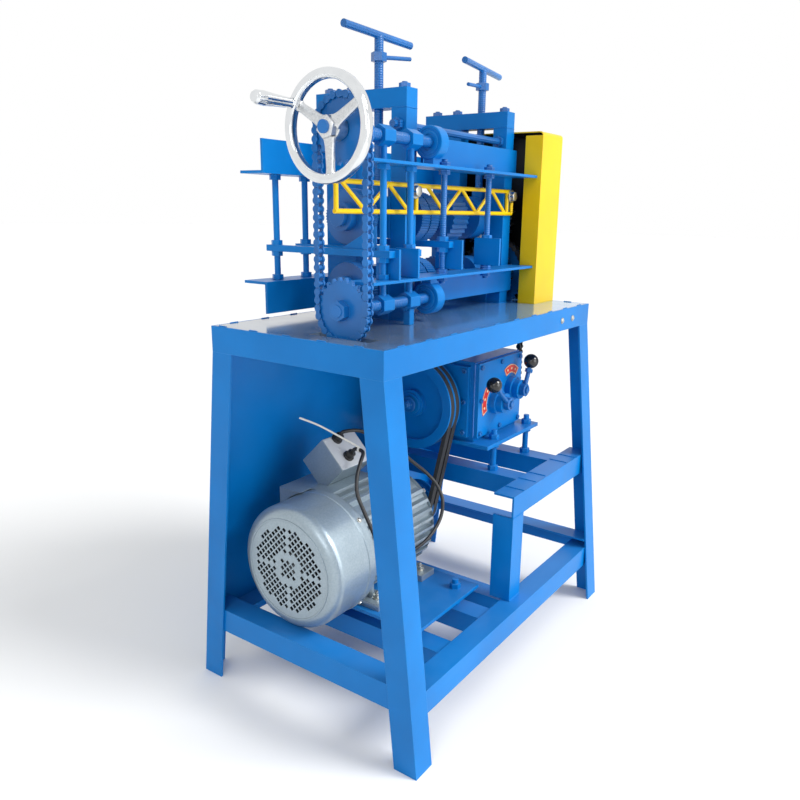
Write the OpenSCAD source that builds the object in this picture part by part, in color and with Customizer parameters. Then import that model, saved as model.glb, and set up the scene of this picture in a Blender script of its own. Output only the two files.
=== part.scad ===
// Cable stripping machine on an angle-iron stand: a motor and a belt turn a
// two-lever gearbox, a chain lifts the drive through the table, and two geared
// roller shafts draw the cable past the guides that a handwheel sets.
// Millimetres, Z up. X runs along the shafts from the handwheel to the gear
// guard, and -Y is the operator's side.

/* [Stand] */
// Length of the table along the shafts
table_l = 946; // [920:1:980]
// Depth of the table
table_w = 460; // [450:1:480]
// Height of the table top above the floor
table_h = 865; // [850:1:900]
// Leg width of the angle iron
angle_a = 56; // [50:1:60]
// Thickness of the angle iron
angle_t = 5; // [4:0.5:6]
// Outward spread of each foot, front and back
foot_spread = 88; // [70:1:95]
// Thickness of the table plate
plate_t = 8; // [6:1:10]
// Height of the lower frame's top above the floor
rail_top = 160; // [140:1:170]
// Thickness of the sheet on the back
sheet_t = 2; // [1:0.5:3]

/* [Head] */
// Side of the square columns and beams
post_a = 40; // [36:1:44]
// Distance of the left portal from the table's left end
portal_l = 344; // [339:1:347]
// Distance of the right portal from the table's right end
portal_r = 154; // [151:1:163]
// Underside of the portal beams above the table
beam_h = 457; // [445:1:470]
// Front face of the columns
front_y = -40; // [-44:1:-36]
// Leg width of the long rail angles
rail_a = 70; // [65:1:75]
// Thickness of the long rail angles
rail_t = 6; // [5:0.5:7]
// Top of the lower rail's shelf above the table
low_rail_h = 104; // [100:1:108]
// Underside of the upper rail's shelf above the table
high_rail_h = 333; // [328:1:338]
// Diameter of the threaded clamp rods
rod_d = 14; // [12:1:16]

/* [Rollers] */
// Height of the lower roller axis above the table
low_axis_h = 72; // [71:0.5:74]
// Distance between the two roller axes
axis_gap = 156; // [150:3:156]
// Diameter of the roller shafts
shaft_d = 40; // [36:1:44]
// Diameter of the feed wheels
wheel_d = 120; // [110:1:124]
// Width of a feed wheel
wheel_w = 35; // [30:1:38]
// Number of serrations on a feed wheel
wheel_teeth = 60; // [40:1:72]
// Teeth of each roller gear
gear_teeth = 26; // [24:2:28]
// Width of the roller gears
gear_w = 28; // [20:1:30]
// Diameter of the pressure screws
press_d = 20; // [18:1:24]
// Length of the left pressure screw's cross handle
handle_l = 245; // [220:1:260]
// Length of the right pressure screw's cross handle
right_handle_l = 265; // [240:1:280]

/* [Guide drive] */
// Pitch of both roller chains
chain_p = 15.875; // [15:0.125:16]
// Diameter of the guide screws
screw_d = 24; // [20:1:26]
// Width across flats of the screws' nut blocks
block_af = 36; // [34:1:40]
// Outside diameter of the handwheel
handwheel_d = 200; // [180:1:210]
// Thickness of the handwheel's rim
rim_d = 20; // [16:1:22]
// Length of the handwheel's grip
grip_l = 87; // [75:1:95]

/* [Drive] */
// Diameter of the motor's finned body
motor_d = 256; // [248:1:270]
// Room between the motor's body and its plate
motor_room = 4; // [2:1:8]
// Length of the motor from the fan cover to its shoulder
motor_l = 462; // [452:1:466]
// Diameter of the motor shaft
motor_shaft_d = 38; // [34:1:42]
// Diameter of the gearbox pulley
pulley_d = 244; // [230:1:250]
// Diameter of the motor pulley
motor_pulley_d = 120; // [110:1:130]
// Width of the gearbox housing along the shafts
box_l = 236; // [230:1:244]
// Depth of the gearbox housing
box_w = 250; // [240:1:256]
// Height of the gearbox housing
box_h = 213; // [206:1:216]
// Wall of the gearbox housing
box_t = 10; // [8:1:12]
// Diameter of the gear levers' black balls
ball_d = 40; // [32:1:42]

/* [Guards] */
// Thickness of the gear guard's sheet
guard_t = 2; // [1.5:0.5:3]
// Height of the gear guard
guard_h = 450; // [440:1:460]
// Thickness of the truss guard's bars
truss_d = 10; // [8:1:11]

/* [Hidden] */
$fn = 64;
guide_teeth = 24;       // teeth of both guide sprockets
guide_run = 21;         // links in one straight run of the guide chain
driven_teeth = 40;      // sprocket on the lower roller
output_teeth = 20;      // sprocket on the gearbox
drive_links = 68;       // links of the drive chain
fit = 0.06;            // running fit of a shaft, on the radius
gap = 0.3;             // room between pieces that move past each other

// handwheel and guide drive, seen from the table's middle
chain_x = portal_l - table_l / 2 - 275;
wheel_x = chain_x - 40;
hub_l = 30;
grip_out = wheel_x - rim_d / 2 - 4 - grip_l;
// the origin lies under the middle of the whole machine, so the stand is set off by this
cx = (-grip_out - table_l / 2) / 2;
zt = table_h;
leg_h = zt - angle_a;
lean = atan(foot_spread / leg_h);
function leg_y(z) = table_w / 2 + foot_spread * (leg_h - z) / leg_h;
rail_z = rail_top - angle_a;

// head
xl = cx - table_l / 2 + portal_l;
xr = cx + table_l / 2 - portal_r;
bearing_w = 50;
gear_x = xr + bearing_w / 2 + 16;
drive_x = gear_x + gear_w + 27;
guard_x0 = xr + bearing_w / 2 + 5;
guard_x1 = drive_x + 55;
roll_y = 50;
back_post_y = 2 * roll_y - front_y - post_a;
back_post_w = 87;
rear_y = back_post_y + back_post_w;
beam_y1 = rear_y + 29;
beam_z = zt + beam_h;
low_z = zt + low_axis_h;
high_z = low_z + axis_gap;
rail_lo = zt + low_rail_h;
rail_hi = zt + high_rail_h;
// the rails behind the columns sit a little lower than the front ones
back_lo = rail_lo - 18;
back_hi = rail_hi - 18;
rail_x0 = xl - 221;
rail_x1 = guard_x0 - gap;
rod_y = front_y - rail_t - (rail_a - rail_t) / 2;
rod_back_y = rear_y + rail_t + (rail_a - rail_t) / 2;
outer_x = xl - 149;
inner_x = xl - 55;
guide_travel = 10;
// the fixed rods and the wide feed wheel divide the room between the portals
tie_x = [xl + 0.1674107 * (xr - xl), xl + 0.6183036 * (xr - xl)];
bar_w = 20;
bar_t = 14;
guide_z = zt + 149;
fixed_bar_z = zt + 163;

// guide screws, coupled by the chain
function wheel_r(n) = chain_p / 2 / sin(180 / n);
pitch_r = wheel_r(guide_teeth);
low_screw_z = zt + 52.6;
high_screw_z = low_screw_z + guide_run * chain_p;
disc_x = xl + 11;
disc_l = 25;
disc_d = 70;

// drive
belt_x = cx + 60;
motor_y = 66;
motor_foot_z = rail_top + 38;
motor_h = motor_d / 2 + motor_room;
motor_z = motor_foot_z + motor_h;
motor_x0 = cx - 432;
motor_x1 = motor_x0 + motor_l;
// drop of the drive chain's vertical run that gives a whole number of links
big_r = wheel_r(driven_teeth);
small_r = wheel_r(output_teeth);
function chain_tilt(d) = atan((big_r - small_r) / d);
function chain_drop(d, n) = n == 0 ? d : chain_drop(chain_p / 2 * (drive_links
  - (180 + 2 * chain_tilt(d)) * driven_teeth / 360 - (180 - 2 * chain_tilt(d)) * output_teeth / 360), n - 1);
drop = chain_drop(290, 8);
out_y = roll_y - big_r + small_r;
out_z = low_z - drop;
in_y = 66;
box_x = cx + 105;
box_x1 = box_x + box_l;
box_y = -85;
cover_t = 12;
box_z0 = zt - 343;
in_z = box_z0 + 95;
base_t = 10;
shelf_z = box_z0 - base_t - 72;
gear_m = axis_gap / gear_teeth;
guard_y = -121;
guard_back = 2 * roll_y - guard_y;

// colours of the parts
blue = "#1f6fd0";
yellow = "#f2d21f";
steel = "#c9ccd0";
grey = "#8d9298";
black = "#202124";

// a block between two opposite corners
module block(a, b) {
  translate([min(a.x, b.x), min(a.y, b.y), min(a.z, b.z)])
    cube([abs(b.x - a.x), abs(b.y - a.y), abs(b.z - a.z)]);
}

// round bars along the three axes
module bar_x(x0, x1, y, z, d) { translate([x0, y, z]) rotate([0, 90, 0]) cylinder(d = d, h = x1 - x0); }
module bar_y(x, y0, y1, z, d) { translate([x, y0, z]) rotate([-90, 0, 0]) cylinder(d = d, h = y1 - y0); }
module bar_z(x, y, z0, z1, d) { translate([x, y, z0]) cylinder(d = d, h = z1 - z0); }

// a round bar between any two points
module strut(a, b, d) {
  v = b - a;
  l = norm(v);
  translate(a) rotate([0, acos(v.z / l), atan2(v.y, v.x)]) cylinder(d = d, h = l);
}

// hexagon along Z with its bottom at the point, and one along X
module nut_z(p, af, h) { translate(p) cylinder(d = af / cos(30), h = h, $fn = 6); }
module nut_x(p, af, h) { translate(p) rotate([0, 90, 0]) cylinder(d = af / cos(30), h = h, $fn = 6); }

// an angle section along X, flange f on the +Y side and web w on the +Z side
module angle_x(x0, x1, f, w, t) {
  translate([x0, 0, 0]) rotate([90, 0, 90])
    linear_extrude(x1 - x0) polygon([[0, 0], [f, 0], [f, t], [t, t], [t, w], [0, w]]);
}

// chain wheel in the YZ plane, its first tooth gap at the phase angle
module sprocket(teeth, phase, w, hub_d, hub_w, bore) {
  r = wheel_r(teeth);
  rotate([90, 0, 90]) difference() {
    union() {
      translate([0, 0, -w / 2]) linear_extrude(w) difference() {
        circle(r = r + 0.2 * chain_p);
        for (i = [0 : teeth - 1])
          rotate(phase + i * 360 / teeth) {
            translate([r, 0]) circle(d = 0.64 * chain_p, $fn = 24);
            translate([r + 0.22 * chain_p, 0]) circle(d = 0.82 * chain_p, $fn = 24);
          }
      }
      translate([0, 0, -w / 2]) cylinder(d = hub_d, h = hub_w);
    }
    translate([0, 0, -w]) cylinder(d = bore, h = hub_w + 2 * w);
  }
}

// straight-flanked gear with its first face at the origin, axis along +X
module gear(m, teeth, w, bore, shift = 0, tip = 0.83, root = 1.33, thin = 0.78) {
  rp = m * teeth / 2;
  step = 360 / teeth;
  half = step / 4 * thin;
  rotate([0, 90, 0]) difference() {
    linear_extrude(w) polygon([for (i = [0 : teeth - 1])
      let (a = (i + shift) * step) each [
        [(rp - root * m) * cos(a - half * 1.5), (rp - root * m) * sin(a - half * 1.5)],
        [(rp + tip * m) * cos(a - half * 0.6), (rp + tip * m) * sin(a - half * 0.6)],
        [(rp + tip * m) * cos(a + half * 0.6), (rp + tip * m) * sin(a + half * 0.6)],
        [(rp - root * m) * cos(a + half * 1.5), (rp - root * m) * sin(a + half * 1.5)]]]);
    translate([0, 0, -1]) cylinder(d = bore, h = w + 2);
  }
}

// serrated feed wheel along +X with a hub in front
module feed_wheel(w, hub_d, hub_l, teeth) {
  rotate([0, 90, 0]) difference() {
    union() {
      linear_extrude(w) polygon([for (i = [0 : 2 * teeth - 1])
        let (r = wheel_d / 2 - (i % 2) * 144 / teeth, a = i * 180 / teeth) [r * cos(a), r * sin(a)]]);
      translate([0, 0, -hub_l]) cylinder(d = hub_d, h = hub_l + 1);
    }
    translate([0, 0, -hub_l - 1]) cylinder(d = shaft_d, h = w + hub_l + 2);
  }
}

// where the lower wheel of a chain starts its first tooth gap, for a front run of d
function low_phase(d, teeth) = 180 + (ceil(d / chain_p - 0.001) - d / chain_p) * 360 / teeth;

// centre of pin u: down the front run, under the lower wheel, up the back run, over the upper wheel
function pin_at(u, n1, n2, d) = let (
  r1 = wheel_r(n1), r2 = wheel_r(n2), tilt = atan((r1 - r2) / d),
  u1 = d / chain_p, u2 = u1 + (180 - 2 * tilt) * n2 / 360, u3 = u2 + u1,
  c2 = [r2 - r1, -d], e = 360 - 2 * tilt, out = [cos(e), sin(e)])
  u < u1 ? [-r1, -u * chain_p]
  : u < u2 ? let (a = 180 + (u - u1) * 360 / n2) c2 + r2 * [cos(a), sin(a)]
  : u < u3 ? let (k = (u - u2) / u1) (1 - k) * (c2 + r2 * out) + k * r1 * out
  : let (a = e + (u - u3) * 360 / n1) r1 * [cos(a), sin(a)];

// a roller chain in the YZ plane, the upper wheel's centre at the origin
module chain_loop(n1, n2, d, links) {
  plate_h = 0.9 * chain_p;
  inner_w = 0.6 * chain_p;
  plate_w = 2;
  for (k = [0 : links - 1]) {
    a = pin_at(k, n1, n2, d);
    b = pin_at((k + 1) % links, n1, n2, d);
    x = inner_w / 2 + (k % 2 == 0 ? plate_w : 0);
    rotate([90, 0, 90]) {
      translate([a.x, a.y, -inner_w / 2]) cylinder(d = 0.6 * chain_p, h = inner_w, $fn = 24);
      for (side = [-1, 1])
        translate([0, 0, side > 0 ? x : -x - plate_w]) linear_extrude(plate_w) union() {
          translate(a) circle(d = plate_h, $fn = 24);
          translate(b) circle(d = plate_h, $fn = 24);
          translate(a) rotate(atan2(b.y - a.y, b.x - a.x))
            translate([0, -plate_h * 0.32]) square([norm(b - a), plate_h * 0.64]);
        }
    }
  }
}

// outline of a belt round two wheels of the given radii
module belt_outline(c1, r1, c2, r2) {
  v = c2 - c1;
  t = atan2(v.y, v.x);
  k = acos((r1 - r2) / norm(v));
  n = 60;
  polygon(concat(
    [for (i = [0 : n]) let (a = t + k + i * (360 - 2 * k) / n) c1 + r1 * [cos(a), sin(a)]],
    [for (i = [0 : n]) let (a = t - k + i * 2 * k / n) c2 + r2 * [cos(a), sin(a)]]));
}

// tube swept along a route, with n sides
function ring_frame(pts, i) = let (
  a = pts[max(i - 1, 0)], b = pts[min(i + 1, len(pts) - 1)],
  t = (b - a) / norm(b - a), s = cross(t, [0.31, 0.2, 0.93]), u = s / norm(s)) [u, cross(t, u)];
module tube(pts, r, n) {
  rings = len(pts);
  function p(i, j) = let (f = ring_frame(pts, i), a = j * 360 / n)
    pts[i] + r * (cos(a) * f[0] + sin(a) * f[1]);
  polyhedron(
    points = [for (i = [0 : rings - 1]) for (j = [0 : n - 1]) p(i, j)],
    faces = concat(
      [[for (j = [0 : n - 1]) j]],
      [for (i = [0 : rings - 2]) for (j = [0 : n - 1]) each let (k = (j + 1) % n)
        [[i * n + j, (i + 1) * n + j, (i + 1) * n + k], [i * n + j, (i + 1) * n + k, i * n + k]]],
      [[for (j = [n - 1 : -1 : 0]) (rings - 1) * n + j]]), convexity = 6);
}

// a pair of clamping nuts round a plate from z0 to z1
module clamp_nuts(x, y, z0, z1) {
  for (z = [z1, z0 - nut_h]) difference() {
    nut_z([x, y, z], nut_af, nut_h);
    bar_z(x, y, z - 1, z + nut_h + 1, rod_d);
  }
}
nut_af = rod_d * 1.6;
nut_h = rod_d * 0.75;

// outline of the stand's angle iron
module angle_outline() {
  polygon([[0, 0], [angle_a, 0], [angle_a, angle_t], [angle_t, angle_t], [angle_t, angle_a], [0, angle_a]]);
}

// Stand

module stand_legs() {
  color(blue)
    for (sx = [-1, 1], sy = [-1, 1])
      translate([cx, 0, 0]) mirror([sx > 0 ? 1 : 0, 0, 0]) mirror([0, sy > 0 ? 1 : 0, 0])
        intersection() {
          translate([-table_l / 2, -table_w / 2, leg_h]) rotate([-lean, 0, 0])
            translate([0, 0, -1.2 * zt]) linear_extrude(1.4 * zt) angle_outline();
          translate([-table_l, -table_w - foot_spread, 0]) cube([table_l, table_w + foot_spread, leg_h]);
        }
}

module table_apron() {
  l = table_l / 2;
  w = table_w / 2;
  t = angle_t;
  color(blue) translate([cx, 0, 0]) difference() {
    block([-l, -w, leg_h], [l, w, zt]);
    block([t - l, t - w, leg_h + t], [l - t, w - t, zt + 1]);
    block([angle_a - l, angle_a - w, leg_h - 1], [l - angle_a, w - angle_a, zt]);
    block([drive_x - cx - chain_slot / 2, roll_y - big_r - chain_p, leg_h - 1],
          [drive_x - cx + chain_slot / 2, roll_y + big_r + chain_p, leg_h + t + 1]);
  }
}

chain_slot = 34;
module table_top() {
  l = table_l / 2 - angle_t;
  w = table_w / 2 - angle_t;
  slot_l = 2 * (pitch_r + chain_p);
  drive_l = 2 * (big_r + chain_p);
  color("#8fa0b8") difference() {
    translate([cx, 0, 0]) block([-l, -w, zt - plate_t], [l, w, zt]);
    block([cx + chain_x - chain_slot / 2, rod_y - slot_l / 2, zt - plate_t - 1],
          [cx + chain_x + chain_slot / 2, rod_y + slot_l / 2, zt + 1]);
    block([drive_x - chain_slot / 2, roll_y - drive_l / 2, zt - plate_t - 1],
          [drive_x + chain_slot / 2, roll_y + drive_l / 2, zt + 1]);
    block([gear_x - 5, roll_y - axis_gap / 3, zt - plate_t - 1],
          [gear_x + gear_w + 5, roll_y + axis_gap / 3, zt + 1]);
  }
}

bearer_x = [cx - 247, cx - 69];
stay_x = cx + 37;
end_z = rail_z + 26;
module lower_frame() {
  x0 = cx - table_l / 2 + angle_t;
  x1 = cx + table_l / 2 - angle_t;
  y1 = leg_y(rail_top) - angle_t / cos(lean) - gap;
  end_y = leg_y(end_z + angle_a) - angle_t / cos(lean) - gap;
  color(blue) {
    for (s = [-1, 1]) mirror([0, s > 0 ? 1 : 0, 0]) translate([0, -y1, rail_top]) mirror([0, 0, 1])
      angle_x(x0, x1, angle_a, angle_a, angle_t);
    for (s = [-1, 1]) translate([cx, 0, 0]) mirror([s > 0 ? 1 : 0, 0, 0]) difference() {
      translate([angle_t - table_l / 2, 0, end_z])
        block([0, -end_y, 0], [angle_a, end_y, angle_a]);
      translate([2 * angle_t - table_l / 2, 0, end_z])
        block([0, -end_y - 1, -1], [angle_a, end_y + 1, angle_a - angle_t]);
    }
    for (x = concat(bearer_x, [stay_x]))
      difference() {
        block([x - angle_a / 2, -y1 + angle_t, rail_z],
              [x + angle_a / 2, y1 - angle_t, rail_top - angle_t]);
        block([x - angle_a / 2 + angle_t, -y1, rail_z - 1],
              [x + angle_a / 2 + 1, y1, rail_top - 2 * angle_t]);
      }
  }
}

beam_y = leg_y(shelf_z) - angle_t / cos(lean) - sheet_t - 1;
shelf_x = [cx + 167, cx + 356];
stud_y = [-114, 181];
stud_d = 16;
module gearbox_platform() {
  x1 = cx + table_l / 2 - angle_t;
  color(blue) {
    for (s = [-1, 1]) mirror([0, s > 0 ? 1 : 0, 0]) translate([0, -beam_y, shelf_z]) mirror([0, 0, 1])
      angle_x(stay_x - angle_a / 2, x1, angle_a, angle_a, angle_t);
    for (x = shelf_x) difference() {
      block([x - angle_a / 2, -beam_y + angle_t, shelf_z - angle_a],
            [x + angle_a / 2, beam_y - angle_t, shelf_z - angle_t]);
      block([x - angle_a / 2 + angle_t, -beam_y, shelf_z - angle_a - 1],
            [x + angle_a, beam_y, shelf_z - 2 * angle_t]);
      for (y = stud_y) bar_z(x, y, shelf_z - angle_a - 2, shelf_z + 1, stud_d);
    }
    for (s = [-1, 1]) translate([stay_x - angle_a / 2, s * beam_y, rail_top])
      mirror([0, s > 0 ? 1 : 0, 0]) linear_extrude(shelf_z - angle_a - rail_top) angle_outline();
  }
}

module back_panel() {
  l = table_l / 2 - angle_t - 1;
  // the corners stand on the end rails, the rest on the back rail
  corner_x = table_l / 2 - angle_t - angle_a - gap;
  corner_z = end_z + angle_a + gap;
  color(blue) translate([cx, 0, 0]) difference() {
    intersection() {
      translate([0, table_w / 2, leg_h]) rotate([lean, 0, 0])
        block([-l, -angle_t - sheet_t, -leg_h], [l, -angle_t, 50]);
      block([-l, 0, rail_top + gap], [l, table_w + foot_spread, leg_h]);
    }
    for (s = [-1, 1]) mirror([s > 0 ? 1 : 0, 0, 0])
      block([-l - 1, 0, rail_top - 1], [-corner_x, table_w + foot_spread, corner_z]);
  }
}

// Motor

plate_y = [-190, 238];
motor_stud_y = [-150, 216];
module motor_plate() {
  t = 8;
  z1 = motor_foot_z;
  color(blue) difference() {
    block([bearer_x[0] - 43, plate_y[0], z1 - t], [bearer_x[1] + 49, plate_y[1], z1]);
    for (x = bearer_x, y = motor_stud_y) bar_z(x, y, z1 - t - 1, z1 + 1, stud_d);
  }
  color(steel)
    for (x = bearer_x, y = motor_stud_y) {
      bar_z(x, y, rail_top - angle_t, z1 + 24, stud_d);
      nut_z([x, y, z1], 24, 13);
      nut_z([x, y, z1 - t - 11], 24, 11);
      nut_z([x, y, rail_top - angle_t], 24, 11);
    }
}

shield_l = 62;
cover_l = 132;
cover_d = motor_d + 34;
shaft_bore = motor_shaft_d + 2 * fit;
foot_x = [motor_x0 + 185, motor_x0 + 363];
rib_p = motor_d / 11.6;
module motor_body() {
  x0 = motor_x0 + cover_l + 6;
  x1 = motor_x1 - shield_l;
  core = motor_d - 24;
  color(grey) translate([0, motor_y, motor_z]) {
    difference() {
      union() {
        bar_x(x0, x1, 0, 0, core);
        intersection() {
          bar_x(x0 + 6, x1 - 6, 0, 0, motor_d);
          union() {
            for (i = [-4 : 4]) block([x0, -motor_d, i * rib_p - 3.5], [x1, motor_d, i * rib_p + 3.5]);
            for (i = [-2 : 2]) block([x0, i * rib_p - 3.5, -motor_d], [x1, i * rib_p + 3.5, motor_d]);
          }
        }
        for (x = foot_x, s = [-1, 1]) {
          block([x - 28, s * 60, -motor_h], [x + 28, s * 134, -motor_h + 16]);
          block([x - 8, s * 62, -motor_h], [x + 8, s * 92, -50]);
        }
      }
      bar_x(x0 - 1, x1 + 1, 0, 0, core - 24);
      for (x = foot_x, s = [-1, 1]) bar_z(x, s * 108, -motor_h - 1, -motor_h + 30, 12);
    }
  }
}

module motor_end_shields() {
  core = motor_d - 24;
  x0 = motor_x0 + cover_l + 6;
  x1 = motor_x1 - shield_l;
  color(grey) translate([0, motor_y, motor_z]) difference() {
    union() {
      translate([x1, 0, 0]) rotate([0, 90, 0]) cylinder(d1 = motor_d - 8, d2 = 120, h = shield_l);
      bar_x(x0 - 18, x0, 0, 0, cover_d - 4 - 2 * gap);
    }
    bar_x(x1 - 1, x1 + shield_l - 26, 0, 0, 90);
    bar_x(x0 - 30, x1 + shield_l + 1, 0, 0, shaft_bore);
  }
}

// drawn-steel cover with a rounded shoulder, a raised ring and a grille of square holes
grille_n = 8;
grille_p = motor_d / 21.4;
module fan_cover() {
  d = cover_d;
  t = 2;
  r = 26;
  c = d / 2 - r;
  function arc(rr) = [for (i = [0 : 12]) let (a = i * 7.5) [c + rr * sin(a), r - rr * cos(a)]];
  color(grey) translate([motor_x0, motor_y, motor_z]) rotate([0, 90, 0]) difference() {
    rotate_extrude() polygon(concat([[0, 0], [c - 4, 0], [c - 4, -1.5]], [[c, -1.5]], arc(r),
      [[d / 2, cover_l - 24], [d / 2 + 2, cover_l - 22], [d / 2 + 2, cover_l - 16], [d / 2, cover_l - 14],
       [d / 2, cover_l], [d / 2 - t, cover_l]], [for (i = [12 : -1 : 0]) arc(r - t)[i]], [[0, t]]));
    rotate(45) for (i = [-grille_n : grille_n], j = [-grille_n : grille_n])
      if (norm([i, j]) < grille_n + 0.2 && abs(norm([i, j]) - 2.6) > 0.6
          && (norm([i, j]) < 3 || abs(i) != abs(j)))
        translate([i * grille_p - 4.2, j * grille_p - 4.2, -2]) cube([8.4, 8.4, t + 4]);
  }
}

module motor_fan() {
  x = motor_x0 + 30;
  color(black) translate([0, motor_y, motor_z]) difference() {
    union() {
      bar_x(x, x + 34, 0, 0, 70);
      bar_x(x + 30, x + 34, 0, 0, 210);
      for (i = [0 : 7]) rotate([i * 45, 0, 0]) block([x, -2, 30], [x + 31, 2, 106]);
    }
    bar_x(x - 1, x + 40, 0, 0, motor_shaft_d);
  }
}

module motor_shaft() {
  color(steel) translate([0, motor_y, motor_z]) {
    bar_x(motor_x0 + 22, motor_x1 + 70, 0, 0, motor_shaft_d);
    bar_x(motor_x0 + cover_l + 40, motor_x1 - shield_l - 40, 0, 0, motor_d - 80);
  }
}

groove_w = 17;
groove_d = 12;
belt_offsets = [-11.5, 11.5];
pulley_w = 50;
module grooved_pulley(d, bore) {
  rotate([0, 90, 0]) difference() {
    translate([0, 0, -pulley_w / 2]) cylinder(d = d, h = pulley_w, $fn = 96);
    for (o = belt_offsets) rotate_extrude($fn = 96)
      translate([d / 2 - groove_d, o - groove_w / 2]) square([groove_d + 1, groove_w]);
    translate([0, 0, -pulley_w]) cylinder(d = bore, h = 2 * pulley_w);
  }
}

module motor_pulley() {
  color(blue) translate([belt_x, motor_y, motor_z]) grooved_pulley(motor_pulley_d, motor_shaft_d);
}

module v_belts() {
  c1 = [in_y, in_z];
  c2 = [motor_y, motor_z];
  r1 = pulley_d / 2 - groove_d + gap;
  r2 = motor_pulley_d / 2 - groove_d + gap;
  h = groove_d - 1;
  color(black) for (o = belt_offsets) translate([belt_x + o - groove_w / 2 + gap, 0, 0]) rotate([90, 0, 90])
    linear_extrude(groove_w - 2 * gap) difference() {
      belt_outline(c1, r1 + h, c2, r2 + h);
      belt_outline(c1, r1, c2, r2);
    }
}

term_x = [cx - 330, cx - 130];
term_z = motor_z + motor_d / 2 + 10;
case_a = 90;
case_h = 56;
case_c = [cx - 202, motor_y + 50, motor_z + motor_d / 2 + 58];
// flat casting on the motor's far shoulder, with a seat for the box's lower edge
module terminal_base() {
  color(grey) difference() {
    block([term_x[0], motor_y - 6, term_z - 40], [term_x[1], motor_y + 122, term_z]);
    translate([0, motor_y, motor_z]) {
      bar_x(motor_x0, motor_x1, 0, 0, motor_d + 0.6);
      bar_x(motor_x0, motor_x0 + cover_l + 7, 0, 0, cover_d + 6);
    }
    translate(case_c) rotate([45, 0, 0])
      block([-case_h - gap, -case_a / 2 - gap, -case_a / 2 - gap], [case_h + gap, case_a, case_a]);
  }
}

// sheet-steel box turned up on its edge, two glands one above the other on its front
gland_x = -14;
gland_up = [34, -17];
gland_l = 18;
module terminal_box() {
  color(grey) translate(case_c) rotate([45, 0, 0]) difference() {
    union() {
      block([-case_h, -case_a / 2, -case_a / 2], [case_h, case_a / 2, case_a / 2]);
      for (y = gland_up) bar_z(gland_x, y, case_a / 2 - 1, case_a / 2 + gland_l, 20);
    }
    block([-case_h + 4, -case_a / 2 + 4, -case_a / 2 + 4], [case_h - 4, case_a / 2 - 4, case_a / 2 - 4]);
  }
}

// the lead leaves the upper gland, goes over and round the motor's front and comes back to the lower one
lead_d = 9;
function gland_end(up, out) = case_c + [gland_x, (up - out) / sqrt(2), (up + out) / sqrt(2)];
lead_far = case_a / 2 + gland_l;
lead_hang = [[20, -52, 78], [50, -78, 58], [97, -106, 24], [142, -124, -19], [184, -144, -61],
  [196, -168, -94], [188, -188, -126], [162, -198, -161], [112, -202, -188], [52, -203, -198],
  [-13, -202, -194], [-56, -196, -176], [-76, -187, -150], [-78, -171, -118], [-78, -146, -76],
  [-76, -124, -38], [-63, -112, -4], [-38, -102, 24], [-14, -90, 40]];
// a rounded line through every point of p, n steps to each stretch
function curve(p, n) = concat([for (i = [0 : len(p) - 2]) for (k = [0 : n - 1]) let (
  a = i == 0 ? 2 * p[0] - p[1] : p[i - 1], b = p[i], c = p[i + 1],
  d = i + 2 < len(p) ? p[i + 2] : 2 * p[i + 1] - p[i], t = k / n)
  (2 * b + (c - a) * t + (2 * a - 5 * b + 4 * c - d) * t * t + (3 * b - a - 3 * c + d) * t * t * t) / 2],
  [p[len(p) - 1]]);
lead_bend = curve(concat([gland_end(gland_up[0], lead_far + 6), gland_end(gland_up[0], lead_far + 16)],
  [for (p = lead_hang) case_c + p],
  [gland_end(gland_up[1], lead_far + 16), gland_end(gland_up[1], lead_far + 6)]), 2);
// straight out of each gland before the first bend
lead_route = concat([gland_end(gland_up[0], lead_far + gap)], lead_bend,
  [gland_end(gland_up[1], lead_far + gap)]);
module motor_lead() {
  color(black) tube(lead_route, lead_d / 2, 8);
}

// Gearbox

module gearbox_base() {
  z0 = box_z0 - base_t;
  color(blue) difference() {
    block([box_x - 13, box_y - 52, z0], [shelf_x[1] + 30, box_y + box_w + 40, box_z0]);
    for (x = shelf_x, y = stud_y) bar_z(x, y, z0 - 1, box_z0 + 1, stud_d);
  }
  color(steel) for (x = shelf_x, y = stud_y) {
    bar_z(x, y, shelf_z - angle_t - 30, box_z0 + 26, stud_d);
    nut_z([x, y, box_z0], 24, 13);
    nut_z([x, y, z0 - 13], 24, 13);
    nut_z([x, y, shelf_z - angle_t], 24, 13);
    nut_z([x, y, shelf_z - 2 * angle_t - 13], 24, 13);
  }
}

gear_shaft_d = 34;
boss_d = 90;
module gearbox_housing() {
  color(blue) difference() {
    union() {
      block([box_x, box_y, box_z0], [box_x1, box_y + box_w, box_z0 + box_h]);
      block([box_x - 10, box_y + 14, box_z0 + 12], [box_x + 1, box_y + box_w - 14, box_z0 + box_h - 12]);
      bar_x(box_x1 - 1, box_x1 + 10, out_y, out_z, boss_d);
    }
    block([box_x + box_t, box_y - 1, box_z0 + box_t],
          [box_x1 - box_t, box_y + box_w - box_t, box_z0 + box_h - box_t]);
    bar_x(box_x - 20, box_x1 - 3, in_y, in_z, gear_shaft_d + 2 * fit);
    bar_x(box_x + 3, box_x1 + 20, out_y, out_z, gear_shaft_d + 2 * fit);
  }
}

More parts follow.
